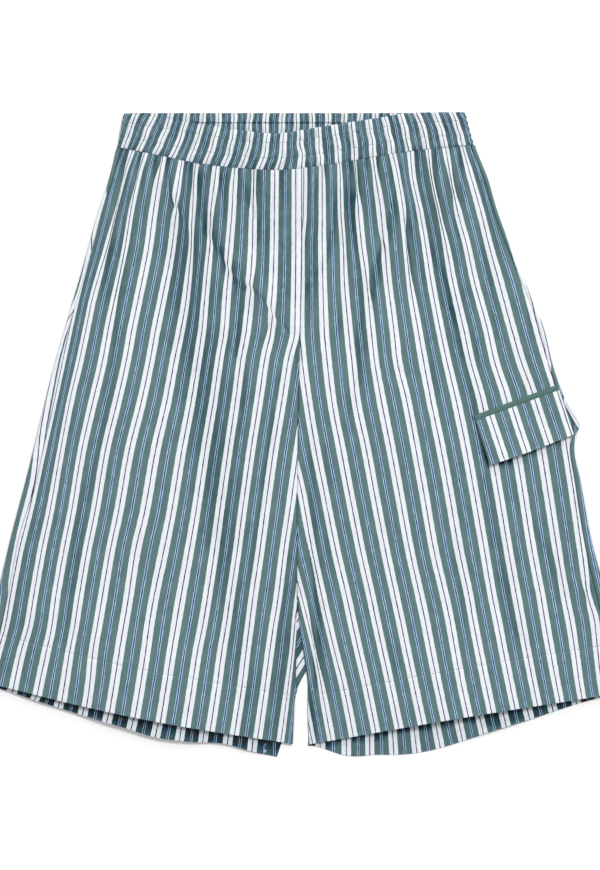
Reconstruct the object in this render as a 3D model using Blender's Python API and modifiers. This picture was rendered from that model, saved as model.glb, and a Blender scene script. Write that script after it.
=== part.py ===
"""Wide-leg pull-on shorts with an elastic waist and one flap pocket, laid flat with the front up.

The back panels lie on the surface, wrap up round each side and meet the fronts at the side seams.
Left and right are the wearer's. +X is the wearer's left, +Y points to the waist and +Z is up.
Sizes are in millimetres: 'across' is measured from the middle of the garment, and 'drop' downwards
from the top edge of the back waistband.
"""

import math
from collections import namedtuple

import bmesh
import bpy
import numpy as np
from mathutils import Matrix, Vector

MM = 0.001
WALL = 1.2
BAND_WALL = 2.2
SEAM_GAP = 0.3

BACK_HEIGHT = WALL / 2
BAND_BACK_HEIGHT = BAND_WALL / 2
SIDE_HEIGHT = 5.4
CALM_HEIGHT = 2.6
INSEAM_HEIGHT = 2.1
BAND_SIDE_HEIGHT = 6.1
BAND_ARCH = 2.6
BAND_TUCK = 2.0
MOUTH_LIFT = 6.6
MOUTH_FULLNESS = 0.8
MOUTH_STRETCH = 1.06
HEM_POINTEDNESS = 1.4

# The ripples below the gathered seam, whose pitch and reach drift across the front.
GATHER_HEIGHT = 1.3
GATHER_PITCH = 33.0
GATHER_DRIFT = 0.3
GATHER_DRIFT_PITCH = 41.0
GATHER_SHARE = 0.75
GATHER_REACH_PITCH = 23.0

SIDE_REACH = 42.0
WAIST_REACH = 85.0
GATHER_REACH = 170.0
MOUTH_REACH = 130.0
INSEAM_REACH = 24.0
FORK_START = 420.0
FORK_END = 480.0

PANEL_ROWS = 26
PANEL_COLUMNS = 20
BACK_FLAT_COLUMNS = 10
BAND_COLUMNS = 44
BAND_ROWS = 2
ROLL_STEPS = 5
GRID_HALF = 0.5

# A place that depends on its own drop is found by going round this many times.
SETTLING_PASSES = 4

# How wide the garment lies: the folded side edge and the side seam a little inside it.
Edge = namedtuple("Edge", "drop right_fold right_seam left_seam left_fold")
EDGES = (
    Edge(0, -168.0, -163.4, 153.0, 157.5),
    Edge(33, -174.0, -169.4, 162.0, 166.5),
    Edge(64, -181.5, -177.2, 174.3, 178.6),
    Edge(93, -192.0, -187.8, 182.8, 187.0),
    Edge(150, -208.0, -203.6, 204.8, 209.0),
    Edge(207, -225.0, -220.6, 227.4, 231.8),
    Edge(240, -234.4, -229.0, 235.4, 239.8),
    Edge(270, -242.0, -234.6, 246.0, 250.5),
    Edge(300, -249.2, -240.0, 259.0, 265.3),
    Edge(319, -253.6, -243.6, 255.6, 260.2),
    Edge(349, -261.0, -250.0, 260.0, 266.0),
    Edge(406, -275.5, -267.0, 269.0, 276.5),
    Edge(463, -288.0, -277.6, 282.0, 292.0),
    Edge(560, -309.5, -298.6, 304.5, 314.0),
)

# The drop of the seam under the waistband, at the sides.
BAND_LEVEL = 33.0

# Where the inner edges run: the centre seams as far as the fork, then the inseams.
Fork = namedtuple("Fork", "drop right_front left_front right_back left_back")
FORK = (
    Fork(30, 1.1, 1.6, 2.9, 3.2),
    Fork(130, 1.5, 2.0, 3.6, 3.9),
    Fork(214, -0.25, 0.15, 5.2, 5.5),
    Fork(330, -2.6, -2.3, 8.2, 8.5),
    Fork(434, -3.0, -2.7, 10.4, 10.7),
    Fork(463, -3.1, -2.1, 10.7, 11.0),
    Fork(492, -3.3, 0.4, 10.9, 11.2),
    Fork(517, -3.6, 4.0, 10.8, 11.1),
    Fork(545, -4.3, 7.6, -1.5, 11.0),
    Fork(566, -5.4, 7.5, -7.0, 9.4),
    Fork(612, -7.6, 9.8, -22.0, 7.0),
)

# The front waistband sags in the middle: its top edge and the seam below it.
Band = namedtuple("Band", "across top seam")
BAND = (
    Band(-172, 0.0, 33.7),
    Band(-135, 5.2, 41.0),
    Band(-95, 11.2, 49.2),
    Band(-60, 17.0, 53.4),
    Band(-23, 20.4, 55.6),
    Band(14, 15.2, 52.2),
    Band(46, 10.0, 47.2),
    Band(80, 4.8, 41.2),
    Band(100, 1.2, 38.2),
    Band(130, 0.2, 34.6),
    Band(166, 0.0, 31.0),
)

# Each hem runs from the side to the inseam and bows downwards in between, most at bow_at.
Hem = namedtuple("Hem", "side inseam bow bow_at")
HEMS = {
    "front_right": Hem(542.0, 600.0, 3.6, 0.5),
    "front_left": Hem(551.0, 600.0, -2.0, 0.5),
    "back_right": Hem(542.0, 612.0, 8.5, 0.52),
    "back_left": Hem(551.0, 601.5, 22.0, 0.66),
}

# The largest folds of the fronts, from one end of the ridge to the other.
Fold = namedtuple("Fold", "across drop end_across end_drop half_width height")
FOLDS = (
    Fold(-122, 52, -112, 150, 9, 3.0),
    Fold(-86, 55, -92, 170, 10, 2.4),
    Fold(-64, 130, -8, 214, 12, 2.6),
    Fold(-204, 110, -214, 190, 10, 2.2),
    Fold(-70, 420, -84, 520, 16, 1.8),
    Fold(-236, 420, -262, 520, 16, 1.6),
    Fold(42, 50, 56, 175, 11, 2.6),
    Fold(88, 44, 98, 180, 11, 3.0),
    Fold(128, 40, 150, 160, 12, 2.0),
    Fold(24, 440, 38, 560, 12, 2.4),
    Fold(200, 340, 214, 500, 18, 1.8),
    Fold(262, 420, 284, 490, 12, 1.8),
)

# The pocket flap hangs from its top edge, which climbs towards the side seam.
FLAP_ACROSS = 166.5
FLAP_DROP = 293.0
FLAP_WIDTH = 84.0
FLAP_LENGTH = 44.0
FLAP_CLIMB = math.radians(20.3)
FLAP_LEAN = math.radians(17.8)
WELT_WIDTH = 5.0
POCKET_STAND_OFF = 0.3
FLAP_STAND_OFF = 2.6
FLAP_COLUMNS = 8
FLAP_ROWS = 5

CLOTH_COLOUR = (0.27, 0.37, 0.38, 1.0)
INSIDE_COLOUR = (0.20, 0.29, 0.30, 1.0)
BAND_COLOUR = (0.31, 0.41, 0.43, 1.0)
TRIM_COLOUR = (0.13, 0.22, 0.21, 1.0)
CLOTH_ROUGHNESS = 0.85


def gentle_slopes(levels, values):
    """Slopes at a table's rows that never let the curve swing past the rows beside it."""
    steps = np.diff(values) / np.diff(levels)
    slopes = np.concatenate(([steps[0]], np.zeros(len(steps) - 1), [steps[-1]]))
    for i in range(1, len(steps)):
        before, after = steps[i - 1], steps[i]
        if before * after > 0:
            slopes[i] = 2 * before * after / (before + after)
    return slopes


def read_table(table, column, at):
    """Read a column of a section table at any level, on a smooth curve through its rows."""
    levels = np.array([row[0] for row in table], dtype=float)
    values = np.array([getattr(row, column) for row in table], dtype=float)
    slopes = gentle_slopes(levels, values)
    at = min(max(at, levels[0]), levels[-1])
    i = min(int(np.searchsorted(levels, at, side="right")) - 1, len(levels) - 2)
    span = levels[i + 1] - levels[i]
    t = (at - levels[i]) / span
    start = (1 + 2 * t) * (1 - t) ** 2 * values[i] + t * (1 - t) ** 2 * span * slopes[i]
    end = t * t * (3 - 2 * t) * values[i + 1] - t * t * (1 - t) * span * slopes[i + 1]
    return float(start + end)


def blend(a, b, t):
    """Go from a to b in proportion t."""
    return a + (b - a) * t


def falloff(distance, reach):
    """1 at no distance, easing to 0 at the reach and beyond."""
    t = min(abs(distance) / reach, 1.0)
    return (1 + math.cos(math.pi * t)) / 2


def edge(drop, line):
    """Where a side edge or side seam lies at this drop."""
    return read_table(EDGES, line, drop)


def fork(drop, line):
    """Where a panel's inner edge lies at this drop."""
    return read_table(FORK, line, drop)


def seam_drop(across):
    """Drop of the seam under the front waistband."""
    return read_table(BAND, "seam", across)


def hem_drop(panel, t):
    """Drop of a panel's hem at t, which is 0 at the side and 1 at the inseam."""
    hem = HEMS[panel]
    skew = math.log(0.5) / math.log(hem.bow_at)
    return blend(hem.side, hem.inseam, t) + hem.bow * math.sin(math.pi * t**skew) ** HEM_POINTEDNESS


def band_height(across):
    """Height of the middle of the front waistband's wall, arched between its two sides."""
    low = edge(BAND_LEVEL, "right_seam")
    high = edge(BAND_LEVEL, "left_seam")
    t = min(max((across - low) / (high - low), 0.0), 1.0)
    return BAND_SIDE_HEIGHT + BAND_ARCH * math.sin(math.pi * t)


def fold_height(across, drop):
    """Total height of the folds at a place on the fronts."""
    total = 0.0
    for fold in FOLDS:
        run = Vector((fold.end_across - fold.across, fold.end_drop - fold.drop))
        away = Vector((across - fold.across, drop - fold.drop))
        along = away.dot(run) / run.length_squared
        beside = abs(away.x * run.y - away.y * run.x) / run.length
        if 0 < along < 1:
            total += fold.height * math.sin(math.pi * along) * falloff(beside, 2 * fold.half_width)
    return total


def gather_height(across, drop):
    """Ripples that the gathered seam sends down the fronts, uneven in spacing."""
    turns = across / GATHER_PITCH + GATHER_DRIFT * math.sin(across / GATHER_DRIFT_PITCH)
    reach = GATHER_REACH * blend(math.sin(across / GATHER_REACH_PITCH), 1.0, GATHER_SHARE)
    near_seam = falloff(max(drop - seam_drop(across), 0.0), reach)
    return GATHER_HEIGHT * near_seam * math.cos(2 * math.pi * turns)


def front_height(side, across, drop):
    """Height of the middle of a front's wall above the surface the garment lies on."""
    seam = edge(drop, side + "_seam")
    inner = fork(drop, side + "_front")
    width_share = min(max((across - seam) / (inner - seam), 0.0), 1.0)
    near_side = falloff((across - seam) if width_share > 0 else 0.0, SIDE_REACH)
    near_waist = falloff(drop - seam_drop(across), WAIST_REACH)
    near_hem = falloff(drop - hem_drop("front_" + side, width_share), MOUTH_REACH)
    arch = math.sin(math.pi * min(width_share * MOUTH_STRETCH, 1.0)) ** MOUTH_FULLNESS
    lift = near_waist * (band_height(across) - CALM_HEIGHT) + near_hem * MOUTH_LIFT * arch
    lift += fold_height(across, drop) + gather_height(across, drop)
    height = CALM_HEIGHT + (SIDE_HEIGHT - CALM_HEIGHT) * near_side + (1 - near_side) * lift
    below_fork = 1 - falloff(max(drop - FORK_START, 0.0), FORK_END - FORK_START)
    near_inseam = falloff(across - inner, INSEAM_REACH) * below_fork
    return blend(height, INSEAM_HEIGHT, near_inseam)


def front_point(side, u, v):
    """A point of a front: u runs from the side seam to the inner edge, v from waist to hem."""
    top = seam_drop(edge(BAND_LEVEL, side + "_seam"))
    for _ in range(SETTLING_PASSES):
        across = blend(edge(top, side + "_seam"), fork(top, side + "_front"), u)
        top = seam_drop(across)
    drop = blend(top + SEAM_GAP, hem_drop("front_" + side, u), v)
    across = blend(edge(drop, side + "_seam"), fork(drop, side + "_front"), u)
    return across, drop, front_height(side, across, drop)


def rolled(u, flat_share, inner, fold, seam, low, high, wall):
    """Across and height along a back section: flat, round the side edge, then inwards on top."""
    radius = (high - low) / 2
    outward = math.copysign(1.0, fold - inner)
    turn = fold - outward * (radius + wall / 2)
    roll_share = (1 - flat_share) * ROLL_STEPS / (ROLL_STEPS + 1)
    if u <= flat_share:
        return blend(inner, turn, u / flat_share), low
    if u <= flat_share + roll_share:
        angle = math.pi * (u - flat_share) / roll_share
        return turn + outward * radius * math.sin(angle), low + radius * (1 - math.cos(angle))
    t = (u - flat_share - roll_share) / (1 - flat_share - roll_share)
    return blend(turn, seam + outward * SEAM_GAP, t), high


def back_point(side, u, v):
    """A point of a back: u runs from the inner edge out, round the side and up to the side seam."""
    flat_share = BACK_FLAT_COLUMNS / (BACK_FLAT_COLUMNS + ROLL_STEPS + 1)
    to_side = min(u / flat_share, 1.0)
    side_top = seam_drop(edge(BAND_LEVEL, side + "_seam")) + SEAM_GAP
    middle_top = (BAND[0].seam + BAND[-1].seam) / 2 + SEAM_GAP
    top = blend(middle_top, side_top, to_side)
    drop = blend(top, hem_drop("back_" + side, 1 - to_side), v)
    inner = fork(drop, side + "_back")
    fold = edge(drop, side + "_fold")
    seam = edge(drop, side + "_seam")
    across, height = rolled(u, flat_share, inner, fold, seam, BACK_HEIGHT, SIDE_HEIGHT, WALL)
    return across, drop, height


def band_turn(side, drop):
    """Where the waistband begins to turn round its side edge."""
    outward = -1 if side == "right" else 1
    return edge(drop, side + "_fold") - outward * (BAND_SIDE_HEIGHT - BAND_BACK_HEIGHT + BAND_WALL) / 2


def band_front_point(u, v):
    """A point of the front waistband, whose two ends wrap down to the back's ends."""
    side = "right" if u < 0.5 else "left"
    outward = -1 if side == "right" else 1
    end_columns = ROLL_STEPS + 1
    from_end = min(u, 1 - u) * BAND_COLUMNS
    top_share = (u * BAND_COLUMNS - end_columns) / (BAND_COLUMNS - 2 * end_columns)
    top_share = min(max(top_share, 0.0), 1.0)
    across = blend(band_turn("right", 0.0), band_turn("left", 0.0), top_share)
    for _ in range(SETTLING_PASSES):
        drop = blend(read_table(BAND, "top", across), seam_drop(across), v)
        across = blend(band_turn("right", drop), band_turn("left", drop), top_share)
    if from_end >= end_columns:
        return across, drop, band_height(across)
    radius = (BAND_SIDE_HEIGHT - BAND_BACK_HEIGHT) / 2
    angle = math.pi * max(from_end - 1, 0.0) / ROLL_STEPS
    tuck = BAND_TUCK * max(1 - from_end, 0.0)
    across = band_turn(side, drop) + outward * (radius * math.sin(angle) - tuck)
    return across, drop, BAND_BACK_HEIGHT + radius * (1 - math.cos(angle))


def band_back_point(u, v):
    """A point of the back waistband, which lies flat between the front's two ends."""
    drop = v * blend(BAND[0].seam, BAND[-1].seam, u)
    right = band_turn("right", drop) + BAND_TUCK + SEAM_GAP
    left = band_turn("left", drop) - BAND_TUCK - SEAM_GAP
    return blend(right, left, u), drop, BAND_BACK_HEIGHT


def pocket_point(along, down):
    """Across and drop of a place on the flap, from its inner top corner."""
    across = FLAP_ACROSS + along * math.cos(FLAP_CLIMB) + down * math.sin(FLAP_LEAN)
    drop = FLAP_DROP - along * math.sin(FLAP_CLIMB) + down * math.cos(FLAP_LEAN)
    return across, drop


def pocket_height(across, drop, stand_off):
    """Height of the pocket's wall: the front's own, moved out by one wall and a gap."""
    return front_height("left", across, drop) + WALL + SEAM_GAP + stand_off


def flap_point(u, v):
    """A point of the flap: u along its top edge towards the side, v down to its loose edge."""
    across, drop = pocket_point(u * FLAP_WIDTH, v * FLAP_LENGTH)
    return across, drop, pocket_height(across, drop, POCKET_STAND_OFF + FLAP_STAND_OFF * v)


def welt_point(u, v):
    """A point of the plain strip above the flap."""
    across, drop = pocket_point(u * FLAP_WIDTH, -SEAM_GAP - (1 - v) * WELT_WIDTH)
    return across, drop, pocket_height(across, drop, POCKET_STAND_OFF)


def new_material(name, colour):
    """A matt cloth material."""
    material = bpy.data.materials.new(name)
    material.use_nodes = True
    shader = material.node_tree.nodes["Principled BSDF"]
    shader.inputs["Base Color"].default_value = colour
    shader.inputs["Roughness"].default_value = CLOTH_ROUGHNESS
    shader.inputs["Metallic"].default_value = 0.0
    return material


def cloth(name, point_at, columns, rows, wall, colour):
    """A wall of cloth: an open grid moved by point_at(u, v) and thickened both ways."""
    mesh = bpy.data.meshes.new(name)
    sheet = bmesh.new()
    bmesh.ops.create_grid(sheet, x_segments=columns, y_segments=rows, size=GRID_HALF)
    for vertex in sheet.verts:
        across, drop, height = point_at(vertex.co.x + GRID_HALF, vertex.co.y + GRID_HALF)
        vertex.co = Vector((across, -drop, height)) * MM
    sheet.to_mesh(mesh)
    sheet.free()
    mesh.shade_smooth()
    mesh.materials.append(new_material(name + " cloth", colour))
    piece = bpy.data.objects.new(name, mesh)
    solidify = piece.modifiers.new("wall", "SOLIDIFY")
    solidify.thickness = wall * MM
    solidify.offset = 0.0
    return piece


def make_pieces():
    """Every piece of the shorts."""
    pieces = []
    back_columns = BACK_FLAT_COLUMNS + ROLL_STEPS + 1
    for side in ("right", "left"):

        def back(u, v, side=side):
            return back_point(side, u, v)

        def front(u, v, side=side):
            return front_point(side, u, v)

        pieces.append(cloth("back_" + side, back, back_columns, PANEL_ROWS, WALL, INSIDE_COLOUR))
        pieces.append(cloth("front_" + side, front, PANEL_COLUMNS, PANEL_ROWS, WALL, CLOTH_COLOUR))
    pieces += [
        cloth("waistband_back", band_back_point, BAND_COLUMNS, BAND_ROWS, BAND_WALL, BAND_COLOUR),
        cloth("waistband_front", band_front_point, BAND_COLUMNS, BAND_ROWS, BAND_WALL, BAND_COLOUR),
        cloth("pocket_flap", flap_point, FLAP_COLUMNS, FLAP_ROWS, WALL, CLOTH_COLOUR),
        cloth("pocket_welt", welt_point, FLAP_COLUMNS, 1, WALL, TRIM_COLOUR),
    ]
    return pieces


def centre(pieces):
    """Move the meshes so that the origin is under the middle of the garment, on the surface."""
    bpy.context.view_layer.update()
    graph = bpy.context.evaluated_depsgraph_get()
    corners = [corner[:] for piece in pieces for corner in piece.evaluated_get(graph).bound_box]
    low = np.min(corners, axis=0)
    high = np.max(corners, axis=0)
    shift = Vector((-(low[0] + high[0]) / 2, -(low[1] + high[1]) / 2, -low[2]))
    for piece in pieces:
        piece.data.transform(Matrix.Translation(shift))


def main():
    """Clear the scene and put the pieces in it."""
    for old in list(bpy.data.objects):
        bpy.data.objects.remove(old, do_unlink=True)
    collection = bpy.data.collections.new("striped shorts")
    bpy.context.scene.collection.children.link(collection)
    pieces = make_pieces()
    for piece in pieces:
        collection.objects.link(piece)
    centre(pieces)


main()
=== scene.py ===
# %% [markdown]
# # Striped summer shorts, laid flat
# A pair of wide-leg pull-on shorts lies on a pale table with its front up. Each panel is made
# here as the cloth it is: a grid of points on the table, lifted by the layers and folds under it,
# with the cloth's own grid kept in its UV map. The stripes are then woven into that grid by a
# shader, so that they bend, lean and vanish into folds just as the cloth does.

import math
from collections import namedtuple

import bpy
import numpy as np
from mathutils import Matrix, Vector


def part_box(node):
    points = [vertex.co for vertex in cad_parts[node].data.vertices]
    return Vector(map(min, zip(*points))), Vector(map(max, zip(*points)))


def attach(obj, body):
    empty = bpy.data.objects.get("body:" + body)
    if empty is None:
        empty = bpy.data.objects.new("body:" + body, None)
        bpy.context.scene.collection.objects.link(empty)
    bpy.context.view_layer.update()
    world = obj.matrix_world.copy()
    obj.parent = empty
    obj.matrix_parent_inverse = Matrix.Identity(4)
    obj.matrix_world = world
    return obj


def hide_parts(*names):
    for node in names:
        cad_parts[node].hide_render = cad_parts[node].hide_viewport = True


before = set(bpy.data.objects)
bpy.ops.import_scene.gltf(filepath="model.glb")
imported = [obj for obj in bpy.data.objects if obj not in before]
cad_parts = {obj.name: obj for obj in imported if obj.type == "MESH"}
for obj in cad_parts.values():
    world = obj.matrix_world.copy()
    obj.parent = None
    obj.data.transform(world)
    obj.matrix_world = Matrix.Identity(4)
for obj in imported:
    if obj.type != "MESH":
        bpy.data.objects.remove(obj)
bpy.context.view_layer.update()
MM = 0.001
print("packed nodes:", sorted(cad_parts))

# %% [markdown]
# ## The cut of the shorts
# A pattern cutter would describe the shorts by a few widths at a few levels. The tables below do
# the same, in millimetres: 'across' is measured from the middle, towards the wearer's left, and
# 'drop' from the top edge of the back waistband downwards. They are nearly the measures that the
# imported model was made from, so the fine cloth made here lies in the space of its plain cloth. The
# edges beside the flap and the waves in the hems of the backs are a little finer than there.

# %% Widths and inner edges
Edge = namedtuple("Edge", "drop right_fold right_seam left_seam left_fold")
EDGES = (
    Edge(0, -168.0, -163.4, 153.0, 157.5),
    Edge(33, -174.0, -169.4, 162.0, 166.5),
    Edge(64, -181.5, -177.2, 174.3, 178.6),
    Edge(93, -191.2, -187.2, 182.8, 187.0),
    Edge(150, -206.8, -202.6, 204.8, 209.0),
    Edge(207, -223.8, -219.6, 227.4, 231.8),
    Edge(240, -233.2, -228.2, 235.4, 239.8),
    Edge(270, -240.8, -234.0, 246.0, 250.5),
    Edge(300, -248.0, -239.6, 259.0, 265.3),
    Edge(306, -249.4, -240.8, 256.4, 261.2),
    Edge(319, -252.5, -243.2, 255.6, 260.2),
    Edge(349, -260.0, -249.6, 260.0, 266.0),
    Edge(406, -274.9, -266.8, 269.0, 276.5),
    Edge(463, -288.0, -277.6, 282.0, 292.0),
    Edge(560, -309.5, -298.6, 304.5, 314.0),
)

Fork = namedtuple("Fork", "drop right_front left_front right_back left_back")
FORK = (
    Fork(30, 1.1, 1.6, 2.9, 3.2),
    Fork(130, 1.5, 2.0, 3.6, 3.9),
    Fork(214, -0.25, 0.15, 5.2, 5.5),
    Fork(330, -2.6, -2.3, 8.2, 8.5),
    Fork(434, -3.0, -2.7, 10.4, 10.7),
    Fork(463, -3.1, -2.1, 10.7, 11.0),
    Fork(492, -3.3, 0.4, 10.9, 11.2),
    Fork(517, -3.6, 4.0, 10.8, 11.1),
    Fork(545, -4.3, 7.6, -1.5, 11.0),
    Fork(566, -5.4, 7.5, -7.0, 9.4),
    Fork(612, -7.6, 9.8, -22.0, 7.0),
)
print(len(EDGES), "widths and", len(FORK), "inner edges")

# %% Waistband and hems
Band = namedtuple("Band", "across top seam")
BAND = (
    Band(-172, 0.0, 33.7),
    Band(-135, 5.2, 41.0),
    Band(-95, 11.2, 49.2),
    Band(-60, 17.0, 53.4),
    Band(-23, 20.4, 55.6),
    Band(14, 15.2, 52.2),
    Band(46, 10.0, 47.2),
    Band(80, 4.8, 41.2),
    Band(100, 1.2, 38.2),
    Band(130, 0.2, 34.6),
    Band(166, 0.0, 31.0),
)

BAND_SIDE_DROP = 33.0

Hem = namedtuple("Hem", "side inseam bow bow_at")
HEMS = {
    "front_right": Hem(542.0, 600.0, 3.6, 0.5),
    "front_left": Hem(551.0, 600.0, -2.0, 0.5),
    "back_right": Hem(542.0, 612.0, 8.5, 0.52),
    "back_left": Hem(551.0, 601.5, 22.0, 0.66),
}
HemWave = namedtuple("HemWave", "share reach drop")
HEM_WAVES = {
    "back_right": (HemWave(0.58, 0.13, 1.8), HemWave(0.81, 0.13, -3.5)),
    "back_left": (HemWave(0.88, 0.12, 5.2), HemWave(0.62, 0.30, 2.2), HemWave(0.30, 0.26, 3.0)),
}
print(len(BAND), "places along the waistband,", len(HEMS), "hems and",
      sum(len(waves) for waves in HEM_WAVES.values()), "waves in them")

# %% [markdown]
# ## Reading the tables
# A table gives a handful of levels, and the cloth needs thousands. A curve through the rows has to
# be smooth, but must never swing past a row, or two panels that meet at a seam would overlap.
# So each row's slope is the harmonic mean of the slopes beside it, and flat at a turning point.

# %% Smooth curves through the rows
def through(levels, values, at):
    """Values at any levels, on a smooth curve that never swings past the given rows."""
    levels = np.asarray(levels, dtype=float)
    values = np.asarray(values, dtype=float)
    steps = np.diff(values) / np.diff(levels)
    slopes = np.concatenate(([steps[0]], np.zeros(len(steps) - 1), [steps[-1]]))
    before, after = steps[:-1], steps[1:]
    same_way = before * after > 0
    slopes[1:-1][same_way] = (2 * before * after)[same_way] / (before + after)[same_way]
    at = np.clip(at, levels[0], levels[-1])
    i = np.clip(np.searchsorted(levels, at, side="right") - 1, 0, len(levels) - 2)
    span = levels[i + 1] - levels[i]
    t = (at - levels[i]) / span
    start = (1 + 2 * t) * (1 - t) ** 2 * values[i] + t * (1 - t) ** 2 * span * slopes[i]
    end = t * t * (3 - 2 * t) * values[i + 1] - t * t * (1 - t) * span * slopes[i + 1]
    return start + end


def column(table, name, at):
    """A column of a table, read at any values of the table's first column."""
    return through([row[0] for row in table], [getattr(row, name) for row in table], at)


def blend(a, b, t):
    """From a to b in proportion t."""
    return a + (b - a) * t


def falloff(distance, reach):
    """1 at no distance, easing to 0 at the reach and beyond."""
    return (1 + np.cos(np.pi * np.clip(np.abs(distance) / reach, 0, 1))) / 2


def ease(t):
    """0 before 0, 1 after 1, and smooth in between."""
    t = np.clip(t, 0, 1)
    return t * t * (3 - 2 * t)


print("half way down, the shorts are", round(float(
    column(EDGES, "left_fold", 300) - column(EDGES, "right_fold", 300))), "mm wide")

# %% [markdown]
# ## From the cutting table to the frame
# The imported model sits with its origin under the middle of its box. Two corners of its box say
# where the cutter's zero is: the back waistband's top edge, and the outermost point of a hem.

# %% Placing a measured point
_, back_band_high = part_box("waistband_back")
back_right_low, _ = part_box("back_right")
TOP = back_band_high.y / MM
MIDDLE = back_right_low.x / MM - float(column(EDGES, "right_fold", HEMS["back_right"].side))
SEAM_GAP = 0.3


def place(across, drop, height):
    """Points in the frame, in metres, from measures in millimetres."""
    return np.stack([across + MIDDLE, TOP - drop, height + 0 * across], axis=-1) * MM


print("the cutter's zero is at", round(MIDDLE, 2), round(TOP, 2), "mm")

# %% [markdown]
# ## How high the cloth lies
# The back lies on the table. The front lies on it in turn, a few millimetres up, and is lifted by
# the rolled side edges, the elastic waistband and the open mouths of the legs. A few large folds
# run down from the waist. These are soft ridges with their own length, width and height, because
# evenly spaced ones would look pressed by a machine.

# %% Heights of the layers
SIDE_HEIGHT = 5.4
CALM_HEIGHT = 2.6
INSEAM_HEIGHT = 2.1
BAND_SIDE_HEIGHT = 6.1
BAND_ARCH = 2.6
BAND_BACK_HEIGHT = 1.1
BACK_HEIGHT = 0.35
MOUTH_LIFT = 6.6

Fold = namedtuple("Fold", "across drop end_across end_drop half_width height")
FOLDS = (
    Fold(-122, 52, -112, 150, 9, 3.0),
    Fold(-86, 55, -92, 170, 10, 2.4),
    Fold(-64, 130, -8, 214, 12, 2.6),
    Fold(-204, 110, -214, 190, 10, 2.2),
    Fold(-70, 420, -84, 520, 16, 1.8),
    Fold(-236, 420, -262, 520, 16, 1.6),
    Fold(42, 50, 56, 175, 11, 2.6),
    Fold(88, 44, 98, 180, 11, 3.0),
    Fold(128, 40, 150, 160, 12, 2.0),
    Fold(24, 440, 38, 560, 12, 2.4),
    Fold(200, 340, 214, 500, 18, 1.8),
    Fold(262, 420, 284, 490, 12, 1.8),
)
print(len(FOLDS), "large folds, up to", max(fold.height for fold in FOLDS), "mm high")

# %% Height of a front
def hem_drop(panel, share):
    """Drop of a panel's hem at a share of its width, which is 0 at the side and 1 at the inseam."""
    hem = HEMS[panel]
    skew = math.log(0.5) / math.log(hem.bow_at)
    bow = np.sin(np.pi * np.clip(share, 0, 1) ** skew)
    waves = sum(w.drop * falloff(share - w.share, w.reach) for w in HEM_WAVES.get(panel, ()))
    return blend(hem.side, hem.inseam, share) + hem.bow * np.clip(bow, 0, 1) ** 1.4 + waves


def fold_height(across, drop):
    """Height of all the large folds together."""
    total = np.zeros(np.shape(across))
    for fold in FOLDS:
        run = np.array([fold.end_across - fold.across, fold.end_drop - fold.drop], dtype=float)
        away_x, away_y = across - fold.across, drop - fold.drop
        along = (away_x * run[0] + away_y * run[1]) / (run @ run)
        beside = (away_x * run[1] - away_y * run[0]) / np.linalg.norm(run)
        swell = np.sin(np.pi * np.clip(along, 0, 1))
        total += fold.height * swell * falloff(beside, 2 * fold.half_width)
    return total


def band_height(across):
    """Height of the front waistband, arched between its two sides."""
    low = float(column(EDGES, "right_seam", BAND_SIDE_DROP))
    high = float(column(EDGES, "left_seam", BAND_SIDE_DROP))
    return BAND_SIDE_HEIGHT + BAND_ARCH * np.sin(np.pi * np.clip((across - low) / (high - low), 0, 1))


def lying_height(side, across, drop):
    """Height of a front panel before its small creases are added."""
    seam = column(EDGES, side + "_seam", drop)
    inner = column(FORK, side + "_front", drop)
    share = np.clip((across - seam) / (inner - seam), 0, 1)
    near_side = falloff((across - seam) * (share > 0), 42.0)
    near_waist = falloff(drop - column(BAND, "seam", across), 85.0)
    near_hem = falloff(drop - hem_drop("front_" + side, share), 130.0)
    arch = np.clip(np.sin(np.pi * np.clip(share * 1.06, 0, 1)), 0, 1) ** 0.8
    lift = near_waist * (band_height(across) - CALM_HEIGHT) + near_hem * MOUTH_LIFT * arch
    lift = lift + fold_height(across, drop)
    height = CALM_HEIGHT + (SIDE_HEIGHT - CALM_HEIGHT) * near_side + (1 - near_side) * lift
    below_fork = 1 - falloff(np.clip(drop - 420, 0, None), 60.0)
    return blend(height, INSEAM_HEIGHT, falloff(across - inner, 24.0) * below_fork)


print("the front waistband rises to", round(float(band_height(0.0)), 1), "mm")

# %% [markdown]
# ## Where the stripes run
# The cloth is woven with one repeat after another: white, green, blue, green. The fronts are cut
# along the grain, so their white stripes fan out from the gathered waist. Each table below says
# how far from the middle some of the white stripes lie, counted from the centre seam outwards,
# at a few levels. Between them the count goes on evenly, and the count times the width of a
# repeat is the place on the cloth.

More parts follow.
